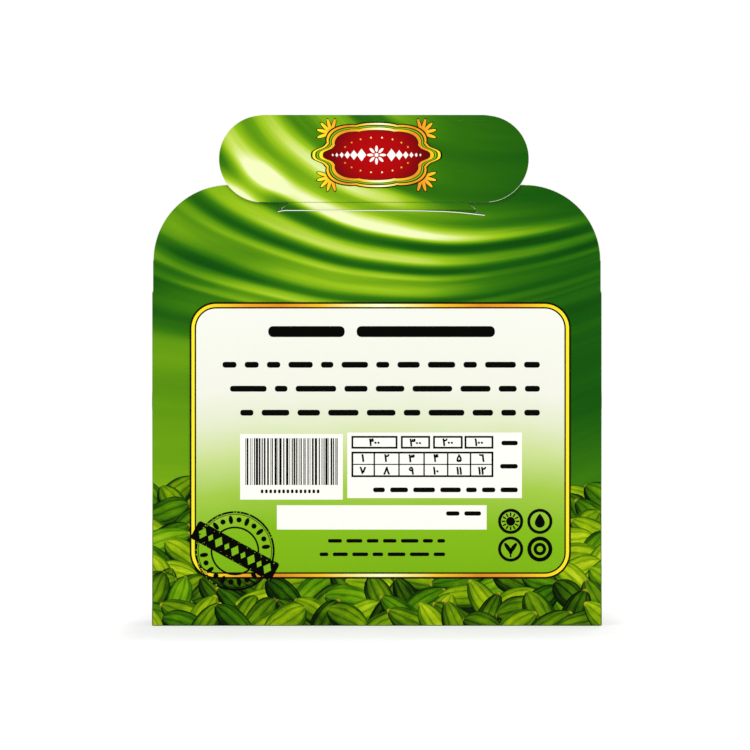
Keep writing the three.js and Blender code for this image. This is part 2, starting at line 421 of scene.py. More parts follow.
# %% Board materials
def printed_material(name, axes, mirror=1, rim=False, low=0, pool=False):
    """Varnished print. axes names which of x, y and z run across and up the panel."""
    recipe = Recipe(name)
    place = recipe.place()
    across, up = place[axes[0]], place[axes[1]] - low
    colour = flowing_green(recipe, across, up, mirror, pool)
    if rim:
        colour = heap_ground(recipe, colour, across, up)
    gloss = recipe.grain(place, 0.3) * 0.12 + 0.36
    peel = recipe.grain(place, 1.8, 4.0, 0.6) + recipe.grain(place, 0.12) * 6
    return recipe.finish(colour, gloss, specular=0.04, height=peel, depth=0.006)


def bare_material(name, tint, fibre):
    recipe = Recipe(name)
    place = recipe.place()
    x, y, z = place
    flecks = recipe.noise(x * 1.1, y * 1.1, z * 3.3, 5.0, 0.7)
    clouds = recipe.grain(place, 0.07)
    darker = tuple(channel * 0.78 for channel in tint[:3]) + (1,)
    colour = recipe.blend(((flecks - 0.5) * fibre + (clouds - 0.5) * 0.6 + 0.3).clamp(), tint, darker)
    return recipe.finish(colour, 0.78, specular=0.3, height=flecks, depth=0.02)


back_print = printed_material("back_print", (0, 2), rim=True)
flap_print = printed_material("flap_print", (0, 2), pool=True)
front_print = printed_material("front_print", (0, 2), mirror=-1, rim=True)
side_print = printed_material("side_print", (1, 2), rim=True)
roof_print = printed_material("roof_print", (0, 1), low=-80)
bare_board = bare_material("bare_board", screen(226, 221, 208), 1.6)
cut_edge = bare_material("cut_edge", screen(236, 238, 222), 0.8)
# Painted shade: a dark green for the flap's lower front edge, standing in for the shadow line under the flap.
painted_shade_edge = bare_material("painted_shade_edge", screen(44, 66, 14), 0.8)
print("made", len(bpy.data.materials), "materials")

# %% [markdown]
# Pieces are shaped in a bmesh and become objects at the origin. A plate with round corners is drawn
# flat and given its thickness. A sheet that turns a corner is a ribbon with board behind it. Each
# face's material is picked by the way it looks: outside is printed, inside is bare, and what is
# left is the cut edge.


# %% Shaping helpers
def bevel(bm, geom, width, segments, affect="EDGES", clamp=False):
    bmesh.ops.bevel(bm, geom=geom, offset=width, offset_type="OFFSET", segments=segments, profile=0.5,
                    affect=affect, clamp_overlap=clamp, material=-1)
    return bm


def outline_face(bm, corners, rounds, segments=16):
    """One upright face through (x, z) corners. rounds maps a corner's number to its radius."""
    verts = [bm.verts.new((x, 0, z)) for x, z in corners]
    bm.faces.new(verts)
    for number, radius in rounds.items():
        bevel(bm, [verts[number]], radius, segments, "VERTICES")
    return bm


def round_plate(x0, x1, z0, z1, radius, segments=8):
    """An upright rectangle, with four round corners if it has a radius."""
    rounds = dict.fromkeys(range(4), radius) if radius else {}
    return outline_face(bmesh.new(), ((x0, z0), (x1, z0), (x1, z1), (x0, z1)), rounds, segments)


def thicken(bm, start, end):
    """Turns an upright flat drawing into a closed slab from y = start to y = end."""
    bm.normal_update()
    turned = [face for face in bm.faces if face.normal.y * (end - start) < 0]
    bmesh.ops.reverse_faces(bm, faces=turned)
    bmesh.ops.translate(bm, vec=(0, start, 0), verts=bm.verts)
    made = bmesh.ops.extrude_face_region(bm, geom=bm.faces[:])
    moved = [item for item in made["geom"] if isinstance(item, bmesh.types.BMVert)]
    bmesh.ops.translate(bm, vec=(0, end - start, 0), verts=moved)
    return bm


# %% Sheets of board
def ribbon(rows):
    """An open sheet through rows of (left, right, y, z)."""
    bm = bmesh.new()
    left, right, y, z = rows[0]
    line = [bm.edges.new([bm.verts.new((x, y, z)) for x in (left, right)])]
    for left, right, y, z in rows[1:]:
        grown = bmesh.ops.extrude_edge_only(bm, edges=line)
        line = [item for item in grown["geom"] if isinstance(item, bmesh.types.BMEdge)]
        middle = sum(vert.co.x for vert in line[0].verts) / 2
        for vert in line[0].verts:
            vert.co = (left if vert.co.x < middle else right, y, z)
    return bm


def face_towards(bm, way):
    """Turns an open sheet's printed side to one way."""
    bmesh.ops.recalc_face_normals(bm, faces=bm.faces)
    if sum(face.normal.dot(way) for face in bm.faces) < 0:
        bmesh.ops.reverse_faces(bm, faces=bm.faces)
    return bm


def board_sheet(bm, way, thickness):
    """Turns a sheet's printed side to one way and adds the board behind it."""
    face_towards(bm, way)
    bmesh.ops.solidify(bm, geom=bm.faces[:], thickness=thickness)
    bmesh.ops.recalc_face_normals(bm, faces=bm.faces)
    return bm


def slice_up(bm, axis, places):
    """Cuts the drawing along planes square to one axis, so that it can be curved later."""
    normal = Vector((0, 0, 0))
    normal[axis] = 1
    for place in places:
        geom = bm.verts[:] + bm.edges[:] + bm.faces[:]
        bmesh.ops.bisect_plane(bm, geom=geom, plane_co=normal * place, plane_no=normal, dist=1e-7)
    return bm


def spread(low, high, count):
    return [low + (high - low) * (step + 1) / (count + 1) for step in range(count)]


# %% Objects
def piece(name, bm, materials, body, stands_for=(), pick=None, smooth=None):
    """Makes the object. pick gives a face's material number. A piece with no body is blended later."""
    if pick:
        bm.normal_update()
        for face in bm.faces:
            face.material_index = pick(face)
    mesh = new_mesh(name, bm)
    for material in materials:
        mesh.materials.append(material)
    made = new_object(name, mesh)
    if smooth is not None:
        mesh.shade_smooth()
        mesh.set_sharp_from_angle(angle=math.radians(smooth))
    if body:
        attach(made, body)
    if stands_for:
        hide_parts(*stands_for)
    return made


def cut_with(obj, bm, operation, pick):
    """Cuts or crops an object with a closed shape, then picks its materials again."""
    cutter = new_object("cutter", new_mesh("cutter", bm))
    change = obj.modifiers.new("cut", "BOOLEAN")
    change.operation = operation
    change.solver = "EXACT"
    change.object = cutter
    bpy.context.view_layer.update()
    result = bpy.data.meshes.new_from_object(obj.evaluated_get(bpy.context.evaluated_depsgraph_get()))
    obj.modifiers.clear()
    picked = bmesh.new()
    picked.from_mesh(result)
    for face in picked.faces:
        face.material_index = pick(face)
    picked.to_mesh(result)
    picked.free()
    obj.data = result
    bpy.data.objects.remove(cutter)


def chamfer_rim(bm, width):
    """Breaks the sharp edges between a slab's faces and its rim."""
    rim = [edge for edge in bm.edges if len(edge.link_faces) == 2 and edge.calc_face_angle() > 1.2]
    return bevel(bm, rim, width, 1, clamp=True)


# %% [markdown]
# The back panel is a die-cut plate: straight sides, two round shoulders, and the slit that takes
# the tongue. A rectangle with two rounded corners gives the outline. The slit is cut after the
# board has its thickness, with its ends turned down as the cutting rule leaves them. Its chamfered
# rim shows as the pale line of a cut edge.

# %% The back panel
SHOULDER = 20.3 * MM
RIM = 0.13 * MM
CREASE = 0.45 * MM
OVERLAP = 0.2 * MM
half = HALF_WIDTH - CREASE
edge = half + OVERLAP
back_bm = bmesh.new()
outline_face(back_bm, ((-edge, 0), (edge, 0), (edge, BACK_TOP), (-edge, BACK_TOP)),
             {2: SHOULDER, 3: SHOULDER}, 28)
thicken(back_bm, BACK, BACK + BOARD)
chamfer_rim(back_bm, RIM)


def pick_back(face):
    if face.normal.y < -0.95:
        return 0
    if face.normal.y > 0.95:
        return 1
    return 2 if face.calc_center_median().z > WALL_TOP - MM else 0


back_finish = (back_print, bare_board, cut_edge)
back_board = piece("back_board", back_bm, back_finish, "root", ("back_panel",), pick_back)

LIP = 0.1 * MM
SLIT_EDGE = 110.98
SLIT_LINE = ((-26.4, -0.35), (-25.4, -0.1), (-24.4, 0.0), (4.0, 0.0), (12.0, -0.1), (18.2, -0.3),
             (22.0, -0.55), (25.4, -0.9), (28.8, -1.3))
SLIT_TOP = ((-26.4, -0.05), (-25.8, 0.2), (-25.5, 0.8), (26.4, 0.8), (26.6, -0.7), (28.8, -1.0))


def raised(line, rise):
    return [(x, z + rise) for x, z in line]


def slit_drawing(bottom, top):
    """A strip between two lines of (x, z) in millimetres, z from the slit's lower edge."""
    corners = [(x * MM, (SLIT_EDGE + z) * MM) for x, z in (*bottom, *reversed(top))]
    return outline_face(bmesh.new(), corners, {})


slit_bm = thicken(slit_drawing(SLIT_LINE, SLIT_TOP), BACK - BOARD, BACK + 2 * BOARD)
cut_with(back_board, slit_bm, "DIFFERENCE", pick_back)
lip = slit_drawing(raised(SLIT_LINE, -0.2), raised(SLIT_LINE, 0.02))
piece("slit_lip", thicken(lip, BACK + LIP, BACK - LIP), (cut_edge,), "root")
print("back board has", len(back_board.data.polygons), "faces")

# %% [markdown]
# The other three walls are one strip of board that wraps round the box. It starts and ends at the
# back panel's creases. An open line with rounded corners is extruded upwards, sliced, pushed out a
# little in the middle of each wall, as a filled carton bulges, and given its thickness by Solidify.

# %% The wrapped walls
BULGE = 0.45 * MM
SIDE_STEPS = 7
FRONT_STEPS = 24
RISE_STEPS = 18
TINY = 1e-6

wrap_bm = bmesh.new()
ring = ((-HALF_WIDTH, BACK), (-HALF_WIDTH, FRONT), (HALF_WIDTH, FRONT), (HALF_WIDTH, BACK))
corners = [wrap_bm.verts.new((x, y, 0)) for x, y in ring]
wrap_bm.faces.new(corners)
bevel(wrap_bm, corners, CREASE, 4, "VERTICES")
bmesh.ops.delete(wrap_bm, geom=wrap_bm.faces[:], context="FACES_ONLY")
back_line = [edge for edge in wrap_bm.edges if all(v.co.y < BACK + TINY for v in edge.verts)]
bmesh.ops.delete(wrap_bm, geom=back_line, context="EDGES")
risen = bmesh.ops.extrude_edge_only(wrap_bm, edges=wrap_bm.edges[:])
top = [item for item in risen["geom"] if isinstance(item, bmesh.types.BMVert)]
bmesh.ops.translate(wrap_bm, vec=(0, 0, WALL_TOP), verts=top)
slice_up(wrap_bm, 2, spread(0, WALL_TOP, RISE_STEPS))
slice_up(wrap_bm, 0, spread(-half, half, FRONT_STEPS))
slice_up(wrap_bm, 1, spread(BACK + CREASE, FRONT - CREASE, SIDE_STEPS))
face_towards(wrap_bm, Vector((0, 1, 0)))


def swell(place, reach):
    """0 at the walls' creases and 1 in the middle."""
    return max(0.0, math.cos(math.pi / 2 * min(1, abs(place) / reach)))


def bulge(along, reach, height, most):
    """How far a wall stands out at a place along it and at a height."""
    rise = math.sin(math.pi * min(1, max(0, height) / WALL_TOP)) ** 0.8
    return most * rise * swell(along, reach)


MIDDLE_Y = (BACK + FRONT) / 2
HALF_DEPTH = FRONT - MIDDLE_Y
SIDE_BULGE = 0.4 * BULGE
for vert in wrap_bm.verts:
    x, y, z = vert.co
    if y > FRONT - TINY:
        vert.co.y += bulge(x, half, z, BULGE)
    elif abs(x) > HALF_WIDTH - TINY:
        vert.co.x += math.copysign(bulge(y - MIDDLE_Y, HALF_DEPTH, z, SIDE_BULGE), x)


def pick_wrap(face):
    if face.normal.y < -0.2:
        return 2
    return 0 if face.normal.y > 0.7 else 1


wall_finish = (front_print, side_print, back_print, *[bare_board] * 3, *[cut_edge] * 3)
wrapped_walls = piece("wrapped_walls", wrap_bm, wall_finish, "root",
                      ("front_panel", "left_side_panel", "right_side_panel"), pick_wrap, smooth=40)
wall = wrapped_walls.modifiers.new("board", "SOLIDIFY")
wall.thickness = BOARD
wall.offset = -1
wall.material_offset = 3
wall.material_offset_rim = 6
print("walls have", len(wrapped_walls.data.polygons), "faces before their thickness")

# %% [markdown]
# The lid is one sheet too: the roof, a round crease, and the header that stands up from it. A
# ribbon runs along the fold, the crease is bevelled, and the sheet gets its thickness. Then the
# header is cropped to its outline, with the back panel's shoulders and a neck that is narrower
# than the closure flap, which folds over at its top.

# %% The lid
HEADER_INSET = 0.5 * MM
ROOF_INSET = 0.35 * MM
LID_BEND = 0.7 * MM
NECK_INSET = 2.9 * MM
NECK_HALF = FLAP_WIDTH / 2 - NECK_INSET
NECK_ROUND = 8.8 * MM
SPARE = MM
HAIR = 0.01 * MM
header_front = header_high[1]
header_top = header_high[2]
roof_z = roof_high[2]
lid_half = roof_high[0]

roof_front = FRONT - ROOF_INSET
lid_bm = ribbon([(-lid_half, lid_half, y, z) for y, z in
                 ((roof_front, roof_z), (header_front, roof_z), (header_front, header_top))])
fold_edge = [e for e in lid_bm.edges if len(e.link_faces) == 2]
bevel(lid_bm, fold_edge, LID_BEND, 4)
board_sheet(lid_bm, Vector((0, 0, 1)), BOARD)


def pick_lid(face):
    height = face.calc_center_median().z
    if face.normal.y > 0.3:
        return 0 if height > roof_z else 3
    if face.normal.z > 0.5 and height < roof_z + MM:
        return 1
    return 2 if face.normal.y < -0.3 or face.normal.z < -0.5 else 3


lid_board = piece("lid_board", lid_bm, (front_print, roof_print, bare_board, cut_edge), "lid",
                  ("lid_roof", "lid_header"), pick_lid)

low_z, above_roof = roof_low[2] - SPARE, roof_z + 2 * SPARE
shoulder_top, neck_top = BACK_TOP - HEADER_INSET, header_top + HAIR
neck = (FLAP_MIDDLE - NECK_HALF, FLAP_MIDDLE + NECK_HALF)
wide = lid_half + SPARE
crop_corners = (
    (-wide, low_z), (wide, low_z), (wide, above_roof), (lid_half, above_roof),
    (lid_half, shoulder_top), (neck[1], shoulder_top), (neck[1], neck_top), (neck[0], neck_top),
    (neck[0], shoulder_top), (-lid_half, shoulder_top), (-lid_half, above_roof), (-wide, above_roof),
)
crop_rounds = {4: SHOULDER - SPARE, 9: SHOULDER - SPARE, 6: NECK_ROUND, 7: NECK_ROUND}
crop_bm = outline_face(bmesh.new(), crop_corners, crop_rounds, 20)
thicken(crop_bm, BACK, FRONT + 5 * SPARE)
cut_with(lid_board, crop_bm, "INTERSECT", pick_lid)
print("lid board has", len(lid_board.data.polygons), "faces")

# %% [markdown]
# Where the board folds it makes a narrow round back. The frame's plates leave that open, because
# each turns on its own. A thin curved strip closes each fold: a ribbon runs along the round back,
# and blend lets it turn from the one body to the other, so it straightens as the lid opens.

# %% The folds
FOLD_BOARD = 0.3 * MM
PROUD = 0.05 * MM
FLAP_GAP = 0.3 * MM
FLAP_FACE = -(FLAP_GAP + BOARD)


def fold_strip(name, reach, path, centre, prints, bodies, start, end):
    """A curved strip through (y, z) points round a centre, printed on its outer side."""
    bm = ribbon([(*reach, y, z) for y, z in path])
    board_sheet(bm, Vector((0, 0, 1)), FOLD_BOARD)

    def pick(face):
        if abs(face.normal.x) > 0.6:
            return 3
        x, y, z = face.calc_center_median()
        outward = (y - centre[0]) * face.normal.y + (z - centre[1]) * face.normal.z
        if outward < 0 or face.normal.z < -0.7:
            return 2
        return 0 if y > centre[0] else 1

    made = piece(name, bm, (*prints, bare_board, cut_edge), None, pick=pick, smooth=50)
    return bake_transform(made, *bodies, start=start, end=end)


def quarter(y, z, radius, first, last, steps=6):
    """Points on a round back, from one angle to another in degrees."""
    turns = [math.radians(first + (last - first) * step / steps) for step in range(steps + 1)]
    return [(y + radius * math.cos(turn), z + radius * math.sin(turn)) for turn in turns]


LID_ROUND = 0.5 * MM
LID_ARMS = (1.2 * MM, 2 * MM)
LID_BLEND = (1.5 * MM, 1.2 * MM)
lid_centre = (FRONT + PROUD - LID_ROUND, roof_z + PROUD - LID_ROUND)
lid_path = [(FRONT + PROUD, WALL_TOP - LID_ARMS[0]), *quarter(*lid_centre, LID_ROUND, 0, 90),
            (FRONT - LID_ARMS[1], roof_z + PROUD)]
fold_strip("lid_crease", (-half, half), lid_path, lid_centre, (front_print, roof_print), ("root", "lid"),
           (0, FRONT, roof_z - LID_BLEND[0]), (0, FRONT - LID_BLEND[1], roof_z))

TOP_DROP = 0.6 * MM
TOP_ARMS = (1.8 * MM, 1.4 * MM)
TOP_LEAN = 0.1 * MM
TOP_INSET = 11.7 * MM
front_y, back_y = header_front + PROUD, FOLD.y + FLAP_FACE - PROUD
top_round = (front_y - back_y) / 2
top_centre = (front_y - top_round, FOLD.z - TOP_DROP)
top_path = [(front_y, FOLD.z - TOP_ARMS[0]), *quarter(*top_centre, top_round, 0, 180, 10),
            (back_y - TOP_LEAN, FOLD.z - TOP_ARMS[1])]
top_half = FLAP_WIDTH / 2 - TOP_INSET
fold_strip("top_crease", (FLAP_MIDDLE - top_half, FLAP_MIDDLE + top_half), top_path, top_centre,
           (front_print, flap_print), ("lid", "flap"), (0, header_front, FOLD.z), (0, back_y, FOLD.z))

# %% [markdown]
# The closure flap is a pill: a rectangle with fully round ends. It steps out over the back panel's
# top edge and then lies flat on the panel, and its lower corners curl away a little, because only
# the tongue in the middle holds it down. It is sliced into a net so that it can be curved, and
# what is printed on it is cut along the same rows and curved the same way. Its lower front edge
# carries painted shade: a dark green that stands in for the line of shadow under it.

# %% The closure flap
HUG = 0.15 * MM
FLAP_REACH = FOLD.y - FLAP_GAP - (BACK - HUG)
MEETING = FOLD.z - BACK_TOP - MM
SOFT = 0.12
FLAP_ROUND = 11.6 * MM
FLAP_RIM = 0.09 * MM
FLAP_STRAIGHT = 31 * MM
CORNER_CURL = {-1: 0.55 * MM, 1: 0.2 * MM}
HELD_HALF = 24 * MM
TONGUE_X = 0.4 * MM
FLAP_ROWS = spread(-FLAP_LENGTH, 0, 14)


def lean(drop):
    """How far the flap has stepped out below the fold: a slope, then flat on the panel."""
    share = drop / MEETING
    bend = min(max(share - 1 + SOFT, 0), 2 * SOFT)
    return FLAP_REACH * (min(share, 1 + SOFT) - bend * bend / (4 * SOFT))


def curl(x, drop):
    """How far a corner stands away from the panel at x, at a distance below the fold."""
    side = 1 if x > FLAP_MIDDLE else -1
    free = max(0.0, abs(x - FLAP_MIDDLE) - HELD_HALF) / (FLAP_WIDTH / 2 - HELD_HALF)
    return CORNER_CURL[side] * free ** 1.5 * (drop / FLAP_LENGTH)


def onto_flap(bm):
    """Curves a drawing that was made on a flat flap hanging from the fold."""
    for vert in bm.verts:
        vert.co.y -= lean(-vert.co.z) + curl(vert.co.x, -vert.co.z)
    bmesh.ops.translate(bm, vec=(0, FOLD.y, FOLD.z), verts=bm.verts)
    return bm


flap_bm = round_plate(flap_low[0], flap_high[0], -FLAP_LENGTH, 0, FLAP_ROUND, 20)
slice_up(flap_bm, 0, spread(flap_low[0], flap_high[0], 26))
slice_up(flap_bm, 2, FLAP_ROWS)
thicken(flap_bm, FLAP_FACE, -FLAP_GAP)
chamfer_rim(flap_bm, FLAP_RIM)


def pick_flap(face):
    if abs(face.normal.y) > 0.9:
        return 0 if face.normal.y < 0 else 1
    straight = abs(face.calc_center_median().x - FLAP_MIDDLE) < FLAP_STRAIGHT
    front_chamfer = face.normal.y < -0.3
    if not straight or not front_chamfer:
        return 2
    # Material 3 is painted shade on the straight lower front chamfer, in place of the shadow under the flap.
    return 0 if face.normal.z > 0 else 3


flap_bm.normal_update()
for face in flap_bm.faces:
    face.material_index = pick_flap(face)
onto_flap(flap_bm)
flap_finish = (flap_print, bare_board, cut_edge, painted_shade_edge)
piece("flap_board", flap_bm, flap_finish, "flap", ("closure_flap",), smooth=35)
print("flap", round(FLAP_LENGTH / MM, 1), "mm long, stepping out", round(FLAP_REACH / MM, 2), "mm")

# %% [markdown]
# The tongue is the flap's own board, bent back at a soft crease and tucked through the slit. Its
# ribbon widens on the way, because the tongue flares before it enters the slit. Each row says where
# it counts from, how many millimetres further it lies, and half its width. The first rows lie a
# little behind the flap's face, which leaves the dark line of the pressed crease.

# %% The tongue
TONGUE_BOARD = 0.4 * MM
TONGUE_CLEARANCE = 0.25 * MM
TONGUE_CUTS = (-22 * MM, 23 * MM, 5)
root_y = BACK - HUG - BOARD
root_z = flap_low[2]
inside_y = BACK + BOARD + TONGUE_CLEARANCE
slit_z = SLIT_EDGE * MM
TONGUE_ROWS = (
    (root_y, 0.06, root_z, 0.3, 23.9), (root_y, 0.1, root_z, 0.1, 23.9), (root_y, 0.23, root_z, -0.08, 23.9),
    (root_y, 0.2, root_z, -0.3, 24.0), (root_y, 0.2, root_z, -0.85, 24.7), (root_y, 0.32, root_z, -1.4, 25.5),
    (BACK, -0.02, slit_z, 0.1, 25.9), (BACK + BOARD, 0, slit_z, 0.02, 25.9),
    (inside_y, 0, slit_z, -0.6, 25.9), (inside_y, 0, slit_z, -2, 25.8),
    (inside_y, 0, TONGUE_TIP, 4, 25.0), (inside_y, 0, TONGUE_TIP, 1.2, 23.6),
    (inside_y, 0, TONGUE_TIP, 0, 21.0),
)
tongue_bm = ribbon([(TONGUE_X - reach * MM, TONGUE_X + reach * MM, y + further * MM, z + rise * MM)
                    for y, further, z, rise, reach in TONGUE_ROWS])
slice_up(tongue_bm, 0, spread(*TONGUE_CUTS))
board_sheet(tongue_bm, Vector((0, -1, 0)), TONGUE_BOARD)


def pick_tongue(face):
    at_tip = face.normal.z < -0.8 and face.calc_center_median().z < TONGUE_TIP + MM
    if abs(face.normal.x) > 0.6 or at_tip:
        return 2
    return 0 if face.normal.y + face.normal.z < 0 else 1


piece("tongue_board", tongue_bm, back_finish, "flap", ("tuck_tongue",), pick_tongue, smooth=50)

# %% [markdown]
# Everything printed over the green ground is a thin inlay that stands a few hundredths of a
# millimetre proud of the varnish. Lines stay sharp this way at any distance, which a painted
# image wouldn't. Each ink is one even colour with a little grain, and a few inks change over
# the panel. Places on the panel are given in millimetres across and up.


# %% Inks
def ink(name, colour, gloss=0.42):
    recipe = Recipe(name)
    grain = recipe.grain(recipe.place(), 3)
    lighter = tuple(min(1, channel * 1.12 + 0.001) for channel in colour[:3]) + (1,)
    speckled = recipe.blend(grain, colour, lighter)
    return recipe.finish(speckled, gloss, specular=0.02, height=grain, depth=0.003)


black_ink = ink("black_ink", screen(3, 4, 2))
white_ink = ink("white_ink", screen(241, 241, 233))
line_ink = ink("line_ink", screen(10, 9, 2))
leaf_ink = ink("leaf_ink", screen(122, 176, 22))


def label_ink():
    """White at the top of the framed panel, fading to yellow-green at its foot."""
    recipe = Recipe("label_ink")
    place = recipe.place()
    x, y, z = place
    cloud = recipe.noise(x * 0.05, y, z * 0.05) * 5 - 2.5
    side = x.math("ABSOLUTE").step(30, 52) * 2
    fall = ((z + cloud + side - 12) / 70).clamp()
    colour = recipe.ramp(
        fall, (0.0, 121, 176, 14), (0.20, 130, 184, 24), (0.36, 160, 198, 70), (0.50, 200, 218, 144),
        (0.62, 221, 228, 196), (0.74, 234, 235, 222), (1.0, 237, 238, 228),
    )
    return recipe.finish(colour, 0.4, specular=0.06, height=recipe.grain(place, 2), depth=0.004)


def gold_ink(name, reach):
    """Printed gold: pale where it would catch the light, orange between, yellow at the sides."""
    recipe = Recipe(name)
    place = recipe.place()
    out = ((place[0] - 1).math("ABSOLUTE") / reach).clamp()
    colour = recipe.ramp(
        out, (0.0, 255, 250, 206), (0.12, 252, 236, 150), (0.30, 246, 190, 36), (0.52, 222, 138, 26),
        (0.70, 236, 160, 30), (0.86, 250, 206, 26), (1.0, 253, 234, 40),
    )
    return recipe.finish(colour, 0.34, specular=0.15, height=recipe.grain(place, 2), depth=0.004)


def red_ink(name, axis, middle, reach):
    """Deep red, darker away from the middle. axis says which of x and y runs across."""
    recipe = Recipe(name)
    place = recipe.place()
    dz = (place[2] - middle) * 1.2
    away = ((place[axis] * place[axis] + dz * dz).math("SQRT") / reach).clamp()
    colour = recipe.ramp(away, (0.0, 180, 2, 6), (0.45, 164, 2, 6), (0.8, 112, 2, 6), (1.0, 84, 2, 6))
    return recipe.finish(colour, 0.36, specular=0.05, height=recipe.grain(place, 2), depth=0.004)


label_fill = label_ink()
frame_gold = gold_ink("frame_gold", 51)
medal_gold = gold_ink("medal_gold", 17)
medal_red = red_ink("medal_red", 0, 125.7, 15)

# %% [markdown]
# A drawing is a flat bmesh on the plane y = 0. To print it, it becomes a thin slab that starts just
# inside the board and ends a hair in front of it. A higher layer is printed over a lower one.
# Back, front, sides and flap each have their own way of laying a drawing onto the board.

# %% Laying prints on the board
SUNK = 0.08 * MM
LAYER = 0.012 * MM


def on_back(bm, layer):
    return thicken(bm, BACK + SUNK, BACK - layer * LAYER)


def on_flap(bm, layer):
    slice_up(bm, 2, FLAP_ROWS)
    return onto_flap(thicken(bm, FLAP_FACE + SUNK, FLAP_FACE - layer * LAYER))


def on_front(bm, layer):
    """The front wall bulges, so the drawing is cut along the wall's own net and follows it."""
    slice_up(bm, 0, spread(-half, half, FRONT_STEPS))
    slice_up(bm, 2, spread(0, WALL_TOP, RISE_STEPS))
    thicken(bm, FRONT - SUNK, FRONT + layer * LAYER)
    for vert in bm.verts:
        vert.co.y += bulge(vert.co.x, half, vert.co.z, BULGE)
    return bm


def on_side(side):
    """Lays a drawing on the wall at side * x, with its across turned along y."""

    def lay(bm, layer):
        reach = HALF_DEPTH - CREASE
        slice_up(bm, 0, spread(-reach, reach, SIDE_STEPS))
        slice_up(bm, 2, spread(0, WALL_TOP, RISE_STEPS))
        thicken(bm, -SUNK, layer * LAYER)
        for vert in bm.verts:
            along, out, z = vert.co
            out += bulge(along, HALF_DEPTH, z, SIDE_BULGE)
            vert.co = (side * (HALF_WIDTH + out), MIDDLE_Y + along, z)
        if side > 0:
            bmesh.ops.reverse_faces(bm, faces=bm.faces)
        return bm

    return lay


# %% Flat drawings
def joined(drawings):
    """Several flat drawings as one."""
    whole = bmesh.new()
    for drawing in drawings:
        part = new_mesh("part", drawing)
        whole.from_mesh(part)
        bpy.data.meshes.remove(part)
    return whole


def bar(x0, x1, z0, z1, radius=0.0, segments=3):
    """A plain rectangle in millimetres, with round corners if it has a radius."""
    return round_plate(*[value * MM for value in (x0, x1, z0, z1, radius)], segments)


def upright(bm):
    """Stands a drawing up that lies on the floor."""
    bmesh.ops.rotate(bm, cent=(0, 0, 0), matrix=Matrix.Rotation(math.pi / 2, 3, "X"), verts=bm.verts)
    return bm


def spun(bm, x, z, turn):
    """Turns a drawing about a point in millimetres, clockwise as it is seen."""
    bmesh.ops.rotate(bm, cent=(x * MM, 0, z * MM), matrix=Matrix.Rotation(turn, 3, "Y"), verts=bm.verts)
    return bm


def disc(x, z, radius, segments=28, squash=1.0, turn=0.0):
    """A round or oval dot in millimetres."""
    bm = bmesh.new()
    bmesh.ops.create_circle(bm, cap_ends=True, segments=segments, radius=radius * MM)
    bmesh.ops.scale(bm, vec=(1, squash, 1), verts=bm.verts)
    upright(bm)
    spun(bm, 0, 0, turn)
    bmesh.ops.translate(bm, vec=(x * MM, 0, z * MM), verts=bm.verts)
    return bm


def circle_line(x, z, outer, inner, segments=40):
    """A ring in millimetres: a disc with its middle inset and taken out."""
    bm = disc(x, z, outer, segments)
    middle = bm.faces[:]
    width = (outer - inner) * MM
    bmesh.ops.inset_region(bm, faces=middle, thickness=width, use_boundary=True, use_even_offset=True)
    bmesh.ops.delete(bm, geom=middle, context="FACES_ONLY")
    return bm


def print_piece(name, drawings, material, layer, lay=on_back, body="root"):
    return piece(name, lay(joined(drawings), layer), (material,), body)


# %% [markdown]
# Along the foot of the pack lies a printed heap of cardamom pods. Each one is a flat drawing: a grid
# drawn in to a spindle, which keeps its own along-and-across places as a UV map. From those the
# material draws the ribs and the round shading, and a number kept at each vertex says how much
# that side of the pod is turned to the light.

# %% Printed pods
POD_STEPS = 12
POD_RIBS = 10
POD_LAYER = 0.11
HEAP_STEP = 4.0
HEAP_SPACING = 7.3


def pod_ink():
    recipe = Recipe("pod_ink")
    spot = recipe.split(recipe.node("ShaderNodeUVMap", {"uv_map": "pod"}))
    along, across = spot[0] * 2 - 1, spot[1] * 2 - 1
    lit, tone = recipe.attribute("lit"), recipe.attribute("tone")
    x, y, z = recipe.place()
    round_turn = (across * 0.98).math("ARCSINE")
    wobble = recipe.noise(along * 2.2, across * 1.5, tone * 40) * 1.8
    rib = ((round_turn * POD_RIBS + wobble + tone * 9).math("COSINE") + 1) * 0.5
    crack = (1 - rib) ** 7
    fibre = recipe.noise(along * 2.4, across * 24, tone * 70, 4.0, 0.75)
    edge = across.math("ABSOLUTE") ** 3.5
    end = along.math("ABSOLUTE") ** 6
    cloud = recipe.noise(x * 0.16, z * 0.16, 2.0)
    light = (0.54 + lit * 0.26 + rib * 0.08 - crack * 0.17 + (fibre - 0.5) * 0.95 - edge * 0.58 - end * 0.2
             + (tone - 0.5) * 0.6 + (cloud - 0.5) * 0.6)
    colour = recipe.ramp(
        light.clamp(), (0.0, 6, 24, 1), (0.2, 32, 66, 2), (0.4, 62, 104, 3), (0.58, 98, 138, 4),
        (0.76, 136, 170, 6), (0.9, 166, 192, 16), (1.0, 196, 210, 40),
    )
    deep = (tone * 37).math("SINE").step(0.35, 0.9) * 0.8
    colour = recipe.blend(deep, colour, (0.42, 0.75, 0.6, 1), "MULTIPLY")
    stalk = along.step(0.88, 1.0) * 0.75 + along.step(-0.95, -1.0) * 0.5
    colour = recipe.blend(stalk, colour, screen(204, 182, 52))
    return recipe.finish(colour, 0.4, specular=0.03, height=fibre, depth=0.004)


printed_pod = pod_ink()


